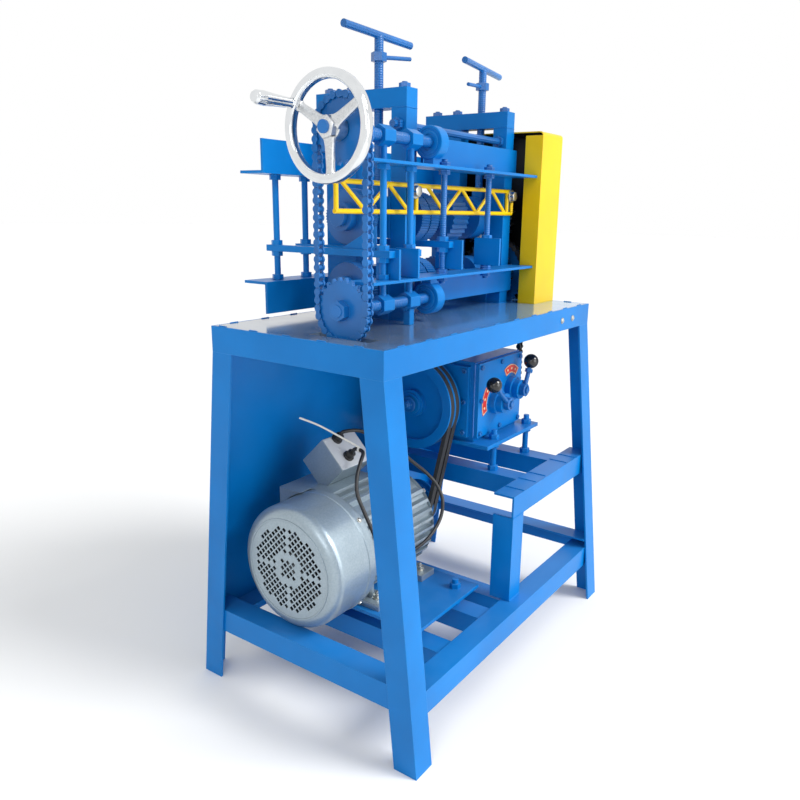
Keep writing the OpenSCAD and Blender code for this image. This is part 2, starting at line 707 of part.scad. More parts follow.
hub1 = [cx + 190, box_z0 + 96];
hub2 = [cx + 276, box_z0 + 118];
hub_d = 60;
hub_len = 36;
cover_z = [box_z0 + 12, box_z0 + box_h - 3];
cover_y = box_y - cover_t;
pin_d = 18;
module gearbox_cover() {
  color(blue) difference() {
    union() {
      block([box_x, cover_y, cover_z[0]], [box_x1, box_y, cover_z[1]]);
      for (h = [hub1, hub2]) {
        bar_y(h.x, cover_y - hub_len, cover_y + 1, h.y, hub_d - 7);
        bar_y(h.x, cover_y - hub_len / 2, cover_y + 1, h.y, hub_d + 5);
      }
    }
    for (h = [hub1, hub2]) bar_y(h.x, cover_y - hub_len - 1, box_y + 1, h.y, pin_d + 2 * fit);
  }
  color(steel) for (i = [0 : 2], z = [cover_z[0] + 11, (cover_z[0] + cover_z[1]) / 2, cover_z[1] - 11])
    if (i != 1 || abs(z - (cover_z[0] + cover_z[1]) / 2) > 1)
      bar_y(box_x + 12 + i * (box_l - 24) / 2, cover_y - 4, cover_y, z, 12);
}

module lever(h, lean_deg, l) {
  color(steel) {
    bar_y(h.x, cover_y - hub_len - 14, box_y + 22, h.y, pin_d);
    bar_y(h.x, cover_y - hub_len - 14, cover_y - hub_len - gap, h.y, 34);
    translate([h.x, cover_y - hub_len - 8, h.y]) rotate([0, lean_deg, 0]) {
      cylinder(d = 12, h = l - ball_d / 2 + 12);
      translate([0, 0, l - ball_d / 2 - 12]) cylinder(d = 21, h = 10, $fn = 6);
    }
  }
}
module knob(h, lean_deg, l) {
  color(black) translate([h.x, cover_y - hub_len - 8, h.y]) rotate([0, lean_deg, 0]) difference() {
    translate([0, 0, l]) sphere(d = ball_d);
    cylinder(d = 12, h = l - ball_d / 2 + 12);
  }
}
speed_lean = -52;
range_lean = 25;
speed_l = 107;
range_l = 82;
module speed_lever() { lever(hub1, speed_lean, speed_l); }
module speed_knob() { knob(hub1, speed_lean, speed_l); }
module range_lever() { lever(hub2, range_lean, range_l); }
module range_knob() { knob(hub2, range_lean, range_l); }

// a curved plate round each hub, over the lever's three places
plate_r = [hub_d / 2 + 12, hub_d / 2 + 36];
module position_plates() {
  color("#b3202a") for (p = [[hub1, 122, 206], [hub2, 46, 124]])
    translate([p[0].x, cover_y, p[0].y]) rotate([90, 0, 0]) linear_extrude(1) polygon(concat(
      [for (i = [0 : 16]) let (a = p[1] + i * (p[2] - p[1]) / 16) plate_r[1] * [cos(a), sin(a)]],
      [for (i = [16 : -1 : 0]) let (a = p[1] + i * (p[2] - p[1]) / 16) plate_r[0] * [cos(a), sin(a)]]));
}

module input_shaft() {
  color(steel) {
    bar_x(belt_x - pulley_w / 2 - 10, box_x1 - 4, in_y, in_z, gear_shaft_d);
    for (x = [28, 128]) translate([box_x + x, in_y, in_z]) gear(4, 18, 26, gear_shaft_d);
  }
}

dish_d = pulley_d - 2 * groove_d - 24;
dish_t = 14;
module input_pulley() {
  w = pulley_w / 2;
  color(blue) translate([belt_x, in_y, in_z]) {
    difference() {
      grooved_pulley(pulley_d, gear_shaft_d);
      for (x = [-w - 1, w - dish_t]) bar_x(x, x + dish_t + 1, 0, 0, dish_d);
    }
    difference() {
      union() {
        bar_x(-w, w, 0, 0, 72);
        bar_x(-w - 5, -w + 1, 0, 0, 56);
      }
      bar_x(-w - 6, w + 1, 0, 0, gear_shaft_d);
    }
  }
}

module output_shaft() {
  color(steel) {
    bar_x(box_x + 4, drive_x + 16, out_y, out_z, gear_shaft_d);
    for (x = [70, 170]) translate([box_x + x, out_y, out_z]) gear(4, 20, 26, gear_shaft_d);
  }
}

module output_sprocket() {
  color(blue) translate([drive_x, out_y, out_z])
    sprocket(output_teeth, low_phase(drop, output_teeth), 8, 60, 14, gear_shaft_d);
}

module drive_chain() {
  color("#2b2d30") translate([drive_x, roll_y, low_z])
    chain_loop(driven_teeth, output_teeth, drop, drive_links);
}
module driven_sprocket() {
  color(blue) translate([drive_x, roll_y, low_z]) sprocket(driven_teeth, 0, 8, 70, 14, shaft_d);
}

// Rollers

module roller_gear(z, shift) {
  color(steel) translate([gear_x, roll_y, z]) gear(gear_m, gear_teeth, gear_w, shaft_d, shift);
}
module lower_gear() { roller_gear(low_z, 0); }
module upper_gear() { roller_gear(high_z, 0.5); }

roller_x0 = xl - 144;
pair_x = tie_x[0] + bar_w / 2 + 7.5;
wheel_xs = [xl - 111, pair_x, pair_x + wheel_w + 3.5];
wide_x = xl + 0.5223214 * (xr - xl);
module roller(z, x1) {
  color(steel) bar_x(roller_x0, x1, roll_y, z, shaft_d);
}
module lower_shaft() { roller(low_z, drive_x + 14); }
module upper_shaft() { roller(high_z, gear_x + gear_w + 6); }

module roller_wheels(z, disc) {
  color("#4a5a78") {
    translate([wheel_xs[0], roll_y, z]) feed_wheel(wheel_w, 60, 22, wheel_teeth);
    translate([wheel_xs[1], roll_y, z]) feed_wheel(wheel_w - 1, 60, 4, wheel_teeth);
    translate([wheel_xs[2], roll_y, z]) feed_wheel(wheel_w - 1, 60, 1, wheel_teeth);
    translate([wide_x, roll_y, z]) feed_wheel(70, 60, 6, 28);
    difference() {
      bar_x(xr - 84, xr - 34, roll_y, z, disc);
      bar_x(xr - 90, xr - 30, roll_y, z, shaft_d);
    }
  }
}
module lower_wheels() { roller_wheels(low_z, 110); }
module upper_wheels() { roller_wheels(high_z, 110); }

module lower_bearings() {
  color(blue) for (x = [xl, xr]) difference() {
    block([x - bearing_w / 2, front_y + post_a, zt], [x + bearing_w / 2, back_post_y, low_z + 48]);
    bar_x(x - bearing_w, x + bearing_w, roll_y, low_z, shaft_d + 2 * fit);
  }
}

carry_h = 45;
module upper_bearings() {
  color(blue) for (x = [xl, xr]) difference() {
    union() {
      block([x - bearing_w / 2, front_y + post_a + gap, high_z - carry_h],
            [x + bearing_w / 2, back_post_y - gap, high_z + carry_h]);
      bar_z(x, roll_y, high_z + carry_h, high_z + carry_h + 26, press_d + 16);
    }
    bar_x(x - bearing_w, x + bearing_w, roll_y, high_z, shaft_d + 2 * fit);
    bar_z(x, roll_y, high_z + carry_h, high_z + carry_h + 27, press_d + 2 * fit);
  }
}

// Portals

module portals() {
  color(blue) for (x = [xl, xr]) {
    difference() {
      block([x - post_a / 2, front_y, zt], [x + post_a / 2, front_y + post_a, beam_z]);
      bar_x(x - post_a, x + post_a, front_y + post_a / 2, tie_z, tie_d);
    }
    block([x - post_a / 2, back_post_y, zt], [x + post_a / 2, rear_y, beam_z]);
    difference() {
      block([x - post_a / 2, front_y, beam_z], [x + post_a / 2, beam_y1, beam_z + post_a]);
      bar_z(x, roll_y, beam_z - 1, beam_z + post_a + 1, press_d + 2 * fit);
    }
  }
}

bolt_d = 14;
truss_y = front_y - truss_d / 2 - gap;
truss_hi = zt + 297;
truss_lo = zt + 240;
module head_bolts() {
  color(steel) for (x = [xl, xr]) {
    for (y = [front_y + post_a / 2, back_post_y + 25, rear_y + 3]) {
      nut_z([x, y, beam_z + post_a], 22, 10);
      bar_z(x, y, beam_z + post_a, beam_z + post_a + 13, bolt_d - 2);
    }
    washer_y = front_y - truss_d - 2 * gap;
    bar_y(x, washer_y, front_y, truss_bolt_z, bolt_d);
    bar_y(x, washer_y - 3, washer_y, truss_bolt_z, 32);
    translate([x, washer_y - 3, truss_bolt_z]) rotate([90, 0, 0]) cylinder(d = 24, h = 9, $fn = 6);
  }
}
truss_bolt_z = truss_hi - truss_d / 2 - bolt_d / 2 - gap;

module press_screw(x, l, turn) {
  z0 = high_z + carry_h;
  z1 = beam_z + post_a + 111;
  color(blue) {
    bar_z(x, roll_y, z0, z1, press_d);
    translate([x, roll_y, z1]) rotate([0, 0, turn]) bar_x(-l / 2, l / 2, 0, 0, 16);
  }
}
module left_screw() { press_screw(xl, handle_l, 2); }
module right_screw() { press_screw(xr, right_handle_l, 10); }

lock_z = beam_z + post_a + 58;
module lock_nut(x, reach, rise) {
  color(steel) difference() {
    union() {
      nut_z([x, roll_y, lock_z], press_d * 1.5, press_d * 0.9);
      strut([x, roll_y, lock_z + press_d * 0.45],
            [x + reach, roll_y - 8, lock_z + press_d * 0.45 + rise], 9);
    }
    bar_z(x, roll_y, lock_z - 1, lock_z + press_d, press_d + 2 * fit);
  }
}
module left_lock_nut() { lock_nut(xl, 105, 12); }
module right_lock_nut() { lock_nut(xr, -86, -5); }

// Long rails and the rods between them

module slot(x, y, z) {
  l = 2 * guide_travel + rod_d + 2;
  block([x - l / 2, y - rod_d / 2 - gap, z - 1], [x + l / 2, y + rod_d / 2 + gap, z + rail_t + 1]);
}

module front_rails() {
  web_x0 = disc_x + disc_l;
  color(blue) difference() {
    union() {
      for (z = [rail_hi, rail_lo - rail_t])
        block([rail_x0, front_y - rail_a, z], [rail_x1, front_y, z + rail_t]);
      block([web_x0, front_y - rail_t, rail_hi], [rail_x1, front_y, rail_hi + rail_a]);
      block([web_x0, front_y - rail_t, rail_lo - rail_a], [rail_x1, front_y, rail_lo]);
    }
    for (z = [rail_hi, rail_lo - rail_t]) {
      for (x = [outer_x, inner_x]) slot(x, rod_y, z);
      for (x = tie_x) bar_z(x, rod_y, z - 1, z + rail_t + 1, rod_d);
    }
  }
  color(blue) for (z = [high_screw_z, low_screw_z]) difference() {
    union() {
      bar_x(disc_x, disc_x + disc_l, rod_y, z, disc_d);
      block([disc_x, rod_y, z - 10], [disc_x + disc_l, front_y, z + 10]);
      if (z > zt + 200) block([disc_x, rod_y - 12, rail_hi + rail_t], [disc_x + disc_l, rod_y + 12, z]);
      else block([disc_x, rod_y - 12, z], [disc_x + disc_l, rod_y + 12, rail_lo - rail_t]);
    }
    bar_x(disc_x - 1, disc_x + disc_l - 4, rod_y, z, screw_d + 2 * fit);
  }
}

module back_rails() {
  x0 = rail_x0;
  color(blue) difference() {
    union() {
      for (z = [back_hi, back_lo - rail_t]) block([x0, rear_y, z], [rail_x1, rear_y + rail_a, z + rail_t]);
      block([x0, rear_y, back_hi], [rail_x1, rear_y + rail_t, back_hi + rail_a]);
      block([x0, rear_y, back_lo - rail_a], [rail_x1, rear_y + rail_t, back_lo]);
    }
    for (z = [back_hi, back_lo - rail_t]) {
      for (x = [outer_x, inner_x]) slot(x, rod_back_y, z);
      for (x = tie_x) bar_z(x, rod_back_y, z - 1, z + rail_t + 1, rod_d);
    }
  }
}

tie_d = 16;
tie_z = zt + 422;
module clamp_rods() {
  color(blue) {
    for (x = tie_x, at = [[rod_y, rail_lo, rail_hi], [rod_back_y, back_lo, back_hi]]) {
      bar_z(x, at[0], at[1] - rail_t - nut_h - 6, at[2] + rail_t + nut_h + 6, rod_d);
      clamp_nuts(x, at[0], at[2], at[2] + rail_t);
      clamp_nuts(x, at[0], at[1] - rail_t, at[1]);
    }
    bar_x(xl - post_a / 2 - 24, xr + post_a / 2 + 24, front_y + post_a / 2, tie_z, tie_d);
    for (x = [xl, xr]) for (s = [-1, 1])
      nut_x([x + (s > 0 ? post_a / 2 : -post_a / 2 - 12), front_y + post_a / 2, tie_z], 24, 12);
  }
}

// a flat bar across the machine with clamping nuts, and a cheek plate at its front end
cheek_t = 6;
module guide_bar(x, z, side, cheek_y, cheek_z0, cheek_z1, long = true) {
  ys = long ? [rod_y, rod_back_y] : [rod_y];
  y1 = long ? rod_back_y + 24 : rod_y + 26;
  difference() {
    block([x - bar_w / 2, rod_y - 24, z], [x + bar_w / 2, y1, z + bar_t]);
    for (y = ys) bar_z(x, y, z - 1, z + bar_t + 1, rod_d);
  }
  for (y = ys) clamp_nuts(x, y, z, z + bar_t);
  face = x + side * bar_w / 2;
  block([face, cheek_y, cheek_z0], [face + side * cheek_t, rod_y + 26, cheek_z1]);
}

module fixed_guides() {
  color(blue) for (i = [0, 1])
    guide_bar(tie_x[i], fixed_bar_z, i == 0 ? 1 : -1, front_y - rail_a - 14, rail_lo + nut_h + gap,
              fixed_bar_z + bar_t + 4, i == 0);
}

// a guide that the two screws carry: nut blocks, rods, bar and cheek
module moving_guide(x, side) {
  b = block_af / 2;
  color(blue) {
    for (z = [high_screw_z, low_screw_z]) difference() {
      nut_x([x - block_af / 2, rod_y, z], block_af, block_af);
      bar_x(x - block_af, x + block_af, rod_y, z, screw_d + 2 * fit);
    }
    bar_z(x, rod_y, low_screw_z + b, high_screw_z - b, rod_d);
    bar_z(x, rod_back_y, back_lo - rail_t - nut_h - gap, back_hi + rail_t + nut_h + gap, rod_d);
    for (at = [[rod_y, rail_lo, rail_hi], [rod_back_y, back_lo, back_hi]]) {
      nut_z([x, at[0], at[1] + gap], nut_af, nut_h);
      nut_z([x, at[0], at[2] - nut_h - gap], nut_af, nut_h);
    }
    nut_z([x, rod_back_y, back_hi + rail_t + gap], nut_af, nut_h);
    nut_z([x, rod_back_y, back_lo - rail_t - nut_h - gap], nut_af, nut_h);
    guide_bar(x, guide_z, side, front_y - rail_a - 2, rail_lo + gap, guide_z + bar_t + 3);
  }
}

module outer_guide() {
  moving_guide(outer_x, 1);
  color(blue) translate([outer_x - 3, 0, guide_z + bar_t]) rotate([90, 0, 90])
    linear_extrude(cheek_t) polygon([[rod_y + 18, 0], [rod_y + 110, 0], [rod_y + 18, 48]]);
}

module inner_guide() {
  moving_guide(inner_x, -1);
  color(blue) block([inner_x - 8, rod_y - 8, zt + gap], [inner_x + 8, rod_y + 8, low_screw_z - block_af / 2]);
}

// Guards

slot_half = (bolt_d + truss_d) / 2 + 1;
module truss_guard() {
  x0 = xl - 261;
  x1 = xr + slot_half;
  left = (xl - slot_half - x0 - 20) / 3;
  right_x = xl + slot_half + 42;
  right = (xr - slot_half - 10 - right_x) / 5;
  function node_at(x, i) = [x, truss_y, i % 2 == 0 ? truss_hi : truss_lo];
  function left_at(i) = node_at(x0 + 20 + i * left, i);
  function right_at(i) = node_at(right_x + i * right, i);
  color(yellow) {
    for (z = [truss_hi, truss_lo]) bar_x(x0, x1, truss_y, z, truss_d);
    bar_z(x0 + truss_d / 2, truss_y, truss_lo, truss_hi, truss_d);
    for (x = [xl, xr], s = [-1, 1]) bar_z(x + s * slot_half, truss_y, truss_lo, truss_hi, truss_d);
    for (i = [0 : 2]) strut(left_at(i), left_at(i + 1), truss_d - 1.5);
    for (i = [0 : 4]) strut(right_at(i), right_at(i + 1), truss_d - 1.5);
  }
}

module gear_guard() {
  z0 = zt;
  z1 = zt + guard_h;
  t = guard_t;
  r = 10;
  module outline(o) {
    translate([guard_y + r, z0]) square([guard_back - guard_y - 2 * r, z1 - z0 - o]);
    translate([guard_y + o, z0]) square([guard_back - guard_y - 2 * o, z1 - z0 - r]);
    for (y = [guard_y + r, guard_back - r]) translate([y, z1 - r]) circle(r = r - o);
  }
  color(yellow) {
    translate([guard_x0, 0, 0]) rotate([90, 0, 90]) linear_extrude(guard_x1 - guard_x0) difference() {
      outline(0);
      translate([0, -1]) intersection() {
        outline(t);
        translate([guard_y, z0 - 1]) square([1000, 1000]);
      }
    }
    translate([guard_x1 - t, 0, 0]) rotate([90, 0, 90]) linear_extrude(t) outline(0);
    translate([guard_x0, 0, 0]) for (y = [[guard_y, guard_y + 51], [guard_back - 51, guard_back]])
      block([0, y[0] + t / 2, z0], [t, y[1] - t / 2, z1 - r]);
  }
}

// Guide drive

module upper_screw() {
  color(blue) bar_x(cx + wheel_x - 14, disc_x + disc_l - 5, rod_y, high_screw_z, screw_d);
}
module lower_screw() {
  color(blue) bar_x(cx + chain_x - 22, disc_x + disc_l - 5, rod_y, low_screw_z, screw_d);
}
module upper_sprocket() {
  color(blue) translate([cx + chain_x, rod_y, high_screw_z]) sprocket(guide_teeth, 0, 8, 46, 22, screw_d);
}
module lower_sprocket() {
  color(blue) translate([cx + chain_x, rod_y, low_screw_z]) sprocket(guide_teeth, 0, 8, 46, 22, screw_d);
  color(blue) difference() {
    nut_x([cx + chain_x - 20, rod_y, low_screw_z], 36, 16);
    bar_x(cx + chain_x - 30, cx + chain_x, rod_y, low_screw_z, screw_d);
  }
}
module guide_chain() { color(blue) translate([cx + chain_x, rod_y, high_screw_z])
  chain_loop(guide_teeth, guide_teeth, guide_run * chain_p, 2 * guide_run + guide_teeth); }

grip_deg = 29;
rim_r = (handwheel_d - rim_d) / 2;
grip_y = rod_y + rim_r * cos(grip_deg);
grip_z = high_screw_z + rim_r * sin(grip_deg);
spindle_d = 10;
module handwheel() {
  x = cx + wheel_x;
  color(steel) {
    difference() {
      union() {
        translate([x, rod_y, high_screw_z]) rotate([0, 90, 0]) rotate_extrude($fn = 96)
          translate([rim_r, 0]) circle(d = rim_d, $fn = 32);
        bar_x(x + 6, x + hub_l + 4, rod_y, high_screw_z, 44);
        for (i = [0 : 2]) translate([x + 1, rod_y, high_screw_z]) rotate([grip_deg + i * 120, 0, 0])
          rotate([90, 0, 90]) linear_extrude(10) polygon([[0, -12], [rim_r, -8], [rim_r, 8], [0, 12]]);
      }
      bar_x(x - 40, x + 60, rod_y, high_screw_z, screw_d);
    }
    difference() {
      nut_x([x - 9, rod_y, high_screw_z], 36, 16);
      bar_x(x - 40, x + 20, rod_y, high_screw_z, screw_d);
    }
    bar_x(cx + grip_out + 6, x - rim_d / 2 + 3, grip_y, grip_z, spindle_d);
  }
}
module grip() {
  x0 = cx + grip_out;
  x1 = cx + wheel_x - rim_d / 2 - 1;
  color(steel) translate([x0, grip_y, grip_z]) rotate([0, 90, 0]) difference() {
    rotate_extrude() polygon([[0, 0], [9, 0], [12, 5], [13, 22], [11, 48], [9, grip_l], [10, x1 - x0],
      [0, x1 - x0]]);
    translate([0, 0, 5]) cylinder(d = spindle_d + 2 * fit, h = 200);
  }
}

stand_legs();
table_apron();
table_top();
lower_frame();
gearbox_platform();
back_panel();
motor_plate();
motor_body();
motor_end_shields();
fan_cover();
motor_fan();
motor_shaft();
motor_pulley();
terminal_base();
terminal_box();
motor_lead();
v_belts();
gearbox_base();
gearbox_housing();
gearbox_cover();
input_shaft();
input_pulley();
output_shaft();
output_sprocket();
speed_lever();
speed_knob();
range_lever();
range_knob();
position_plates();
drive_chain();
driven_sprocket();
lower_gear();
upper_gear();
gear_guard();
portals();
front_rails();
back_rails();
lower_shaft();
upper_shaft();
lower_wheels();
upper_wheels();
lower_bearings();
upper_bearings();
left_screw();
right_screw();
left_lock_nut();
right_lock_nut();
clamp_rods();
fixed_guides();
outer_guide();
inner_guide();
truss_guard();
head_bolts();
upper_screw();
lower_screw();
upper_sprocket();
lower_sprocket();
handwheel();
grip();
guide_chain();
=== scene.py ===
import math

import bmesh
import bpy
from mathutils import Matrix, Vector


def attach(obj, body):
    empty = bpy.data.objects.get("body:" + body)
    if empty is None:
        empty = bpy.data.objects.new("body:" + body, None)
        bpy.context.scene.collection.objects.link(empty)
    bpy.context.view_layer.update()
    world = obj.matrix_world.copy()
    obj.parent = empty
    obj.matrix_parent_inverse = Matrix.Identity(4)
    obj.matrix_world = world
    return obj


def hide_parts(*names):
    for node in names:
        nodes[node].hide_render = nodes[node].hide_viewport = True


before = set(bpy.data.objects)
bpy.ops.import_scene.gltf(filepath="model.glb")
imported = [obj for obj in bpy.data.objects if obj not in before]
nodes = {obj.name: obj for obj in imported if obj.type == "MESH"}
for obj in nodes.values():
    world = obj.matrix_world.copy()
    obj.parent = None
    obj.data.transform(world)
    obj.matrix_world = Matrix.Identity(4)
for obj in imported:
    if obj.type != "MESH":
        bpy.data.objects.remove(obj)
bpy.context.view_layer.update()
mm = 0.001
print("frame loaded:", len(nodes), "nodes")


def hexColor(code):
    channels = [int(code[i:i + 2], 16) / 255 for i in (1, 3, 5)]
    linear = [c / 12.92 if c <= 0.04045 else ((c + 0.055) / 1.055) ** 2.4 for c in channels]
    return (*linear, 1.0)


def setInputs(tree, node, inputs):
    # a node or a socket is linked, anything else is set as a value
    for name, source in inputs.items():
        if isinstance(source, bpy.types.Node):
            source = next(out for out in source.outputs if out.enabled)
        if isinstance(source, bpy.types.NodeSocket):
            tree.links.new(source, node.inputs[name])
        else:
            node.inputs[name].default_value = source


def addNode(tree, kind, inputs=None, stops=(), **settings):
    made = tree.nodes.new(kind)
    for name, value in settings.items():
        setattr(made, name, value)
    if stops:
        ramp = made.color_ramp.elements
        while len(ramp) < len(stops):
            ramp.new(0.5)
        for stop, (place, code) in zip(ramp, stops):
            stop.position = place
            stop.color = hexColor(code)
    setInputs(tree, made, inputs or {})
    return made


def perMetre(sizeMm):
    return 1000 / sizeMm  # texture scale that gives a feature of this size


# camera, solved from the straight edges of the stand
view = {
    "place": (-1.46645, -1.01431, 1.10833),
    "yaw": 55.59, "pitch": -14.52, "roll": 1.05,  # degrees
    "lensPx": 737.54, "centrePx": (419.63, 401.86), "framePx": 800,
    "sensorMm": 36, "farthest": 50,  # metres
}


def placeCamera():
    yaw, pitch, roll = (math.radians(view[k]) for k in ("yaw", "pitch", "roll"))
    ahead = Vector((math.sin(yaw) * math.cos(pitch), math.cos(yaw) * math.cos(pitch), math.sin(pitch)))
    right = Vector((math.cos(yaw), -math.sin(yaw), 0))
    up = right.cross(ahead)
    side = right * math.cos(roll) + up * math.sin(roll)
    top = up * math.cos(roll) - right * math.sin(roll)
    turned = Matrix((side, top, -ahead)).transposed().to_4x4()
    data = bpy.data.cameras.new("camera")
    data.sensor_width = view["sensorMm"]
    data.lens = view["sensorMm"] * view["lensPx"] / view["framePx"]
    data.shift_x = 0.5 - view["centrePx"][0] / view["framePx"]
    data.shift_y = view["centrePx"][1] / view["framePx"] - 0.5
    data.clip_end = view["farthest"]
    camera = bpy.data.objects.new("camera", data)
    camera.matrix_world = Matrix.Translation(view["place"]) @ turned
    bpy.context.scene.collection.objects.link(camera)
    bpy.context.scene.camera = camera


placeCamera()
print("camera placed")


# a finished mesh as a piece that rides on a body; smooth is the sharpest angle that still looks round
def makePiece(name, mesh, body, material, smooth=35):
    data = bpy.data.meshes.new(name)
    mesh.to_mesh(data)
    mesh.free()
    piece = bpy.data.objects.new(name, data)
    bpy.context.scene.collection.objects.link(piece)
    data.shade_smooth()
    data.set_sharp_from_angle(angle=math.radians(smooth))
    data.materials.append(material)
    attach(piece, body)
    return piece


def axisFrame(axis, place):
    ahead = Vector(axis).normalized()
    side = ahead.orthogonal().normalized()
    turned = Matrix((side, ahead.cross(side), ahead)).transposed().to_4x4()
    return Matrix.Translation(Vector(place)) @ turned


def ringInto(mesh, turned, radius, along, count):
    # points round the frame's own axis, sizes in mm
    ring = []
    for i in range(count):
        angle = 2 * math.pi * i / count
        point = Vector((radius * math.cos(angle), radius * math.sin(angle), along)) * mm
        ring.append(mesh.verts.new(turned @ point))
    return ring


def joinRings(mesh, rings, closed=False):
    count = len(rings[0])
    pairs = list(zip(rings, rings[1:]))
    if closed:
        pairs.append((rings[-1], rings[0]))
    for a, b in pairs:
        for i in range(count):
            j = (i + 1) % count
            mesh.faces.new((a[i], a[j], b[j], b[i]))
    if not closed:
        mesh.faces.new(list(reversed(rings[0])))
        mesh.faces.new(rings[-1])


def loftInto(mesh, loops, closed=False):
    rings = [[mesh.verts.new(Vector(p) * mm) for p in loop] for loop in loops]
    joinRings(mesh, rings, closed)


def latheInto(mesh, profile, axis, place, steps=48):
    # profile: (radius, distance along the axis) in mm; a radius of 0 closes it at the axis
    turned = axisFrame(axis, place)
    rings = []
    for radius, along in profile:
        rings.append(ringInto(mesh, turned, radius, along, steps if radius > 0 else 1))
    for a, b in zip(rings, rings[1:]):
        for i in range(steps):
            j = (i + 1) % steps
            if len(a) > 1 and len(b) > 1:
                mesh.faces.new((a[i], a[j], b[j], b[i]))
            elif len(b) > 1:
                mesh.faces.new((a[0], b[j], b[i]))
            elif len(a) > 1:
                mesh.faces.new((a[i], a[j], b[0]))


# hexagon head with its corners turned down: shares of its width and of its height
hexHead = {"topWidth": 0.94, "chamfer": 0.12}


def hexInto(mesh, across, height, axis, place):
    top, low = across / 2 * hexHead["topWidth"], across / 2 / math.cos(math.pi / 6)
    turned = axisFrame(axis, place)
    levels = ((low, 0), (low, height * (1 - hexHead["chamfer"])), (top, height))
    joinRings(mesh, [ringInto(mesh, turned, radius, along, 6) for radius, along in levels])


# a bead of weld or sealant: a rod whose thickness ripples along its length, in shares of its radius
bead = {
    "sides": 8, "ringsPerRipple": 3, "fewestRings": 4,
    "middle": 0.82, "ripple": 0.18, "drift": 0.07, "driftPace": 1.7, "ends": 0.5,
}


def beadInto(mesh, start, end, radius, rippleMm=5.0):
    a, b = Vector(start), Vector(end)
    turned = axisFrame(b - a, a)
    length = (b - a).length / mm
    perRipple = bead["ringsPerRipple"]
    count = max(bead["fewestRings"], int(length / rippleMm * perRipple))
    rings = []
    for k in range(count + 1):
        wave = bead["middle"] + bead["ripple"] * math.cos(2 * math.pi * k / perRipple)
        wave += bead["drift"] * math.sin(bead["driftPace"] * k)
        size = radius * wave * (bead["ends"] if k in (0, count) else 1)
        rings.append(ringInto(mesh, turned, size, length * k / count, bead["sides"]))
    joinRings(mesh, rings)


def startMaterial(name):
    material = bpy.data.materials.new(name)
    material.use_nodes = True
    tree = material.node_tree
    surface = tree.nodes["Principled BSDF"]
    place = addNode(tree, "ShaderNodeTexCoord").outputs["Object"]
    return material, tree, surface, place


# gloss enamel brushed and sprayed over welded steel: even colour with slow clouds, orange peel that
# breaks up the reflections, thin paint on the edges and a little dust on what faces up
enamel = {
    "cloudMm": 180, "edgeMm": 1.6, "gritMm": 6, "dustMm": 45, "dustColour": "#a9a79f", "dust": 0.16,
    "peelMm": 5, "peelDepthMm": 0.6, "peel": 0.12, "threadDepthMm": 0.8, "shine": 0.3, "coat": 0.1,
}


def glossEnamel(name, paint):
    look = {**enamel, **paint}
    material, tree, surface, place = startMaterial(name)
    clouds = addNode(tree, "ShaderNodeTexNoise", {
        "Vector": place, "Scale": perMetre(look["cloudMm"]), "Detail": 3.0})
    tones = ((0.3, look["deep"]), (0.7, look["colour"]))
    tone = addNode(tree, "ShaderNodeValToRGB", {"Fac": clouds}, tones)
    # rounded corners catch the light, and the paint there is thin
    rounded = addNode(tree, "ShaderNodeBevel", {"Radius": look["edgeMm"] * mm}, samples=4)
    facing = addNode(tree, "ShaderNodeNewGeometry").outputs["Normal"]
    match = addNode(tree, "ShaderNodeVectorMath", {0: rounded, 1: facing}, operation="DOT_PRODUCT")
    edge = addNode(tree, "ShaderNodeMapRange", {"Value": match, "From Min": 0.995, "From Max": 0.90})
    grit = addNode(tree, "ShaderNodeTexNoise", {
        "Vector": place, "Scale": perMetre(look["gritMm"]), "Detail": 4.0})
    thin = addNode(tree, "ShaderNodeMath", {0: edge, 1: grit}, operation="MULTIPLY")
    worn = addNode(tree, "ShaderNodeMix", {"Factor": thin, "A": tone, "B": hexColor(look["edge"])},
                   data_type="RGBA")
    # dust settles on the top faces
    upward = addNode(tree, "ShaderNodeSeparateXYZ", {"Vector": facing}).outputs["Z"]
    lies = addNode(tree, "ShaderNodeMapRange", {
        "Value": upward, "From Min": 0.6, "From Max": 1.0, "To Max": look["dust"]})
    patch = addNode(tree, "ShaderNodeTexNoise", {
        "Vector": place, "Scale": perMetre(look["dustMm"]), "Detail": 5.0})
    share = addNode(tree, "ShaderNodeMath", {0: lies, 1: patch}, operation="MULTIPLY")
    dusty = addNode(tree, "ShaderNodeMix", {
        "Factor": share, "A": worn, "B": hexColor(look["dustColour"])}, data_type="RGBA")
    low, high = look["rough"]
    gloss = addNode(tree, "ShaderNodeMapRange", {"Value": patch, "To Min": low, "To Max": high})
    peel = addNode(tree, "ShaderNodeTexNoise", {
        "Vector": place, "Scale": perMetre(look["peelMm"]), "Detail": 2.0})
    normal = addNode(tree, "ShaderNodeBump", {
        "Height": peel, "Normal": rounded, "Strength": look["peel"],
        "Distance": look["peelDepthMm"] * mm})
    if "threadMm" in look:  # screw thread, cut across one axis
        turns = addNode(tree, "ShaderNodeTexWave", {
            "Vector": place, "Scale": perMetre(look["threadMm"]) / (2 * math.pi)},
            bands_direction=look["threadAxis"])
        normal = addNode(tree, "ShaderNodeBump", {
            "Height": turns.outputs["Fac"], "Normal": normal, "Strength": 0.9,
            "Distance": look["threadDepthMm"] * mm})
    setInputs(tree, surface, {
        "Base Color": dusty, "Roughness": gloss, "Normal": normal, "IOR": 1.5,
        "Specular IOR Level": look["shine"], "Coat Weight": look["coat"], "Coat Roughness": 0.12})
    return material


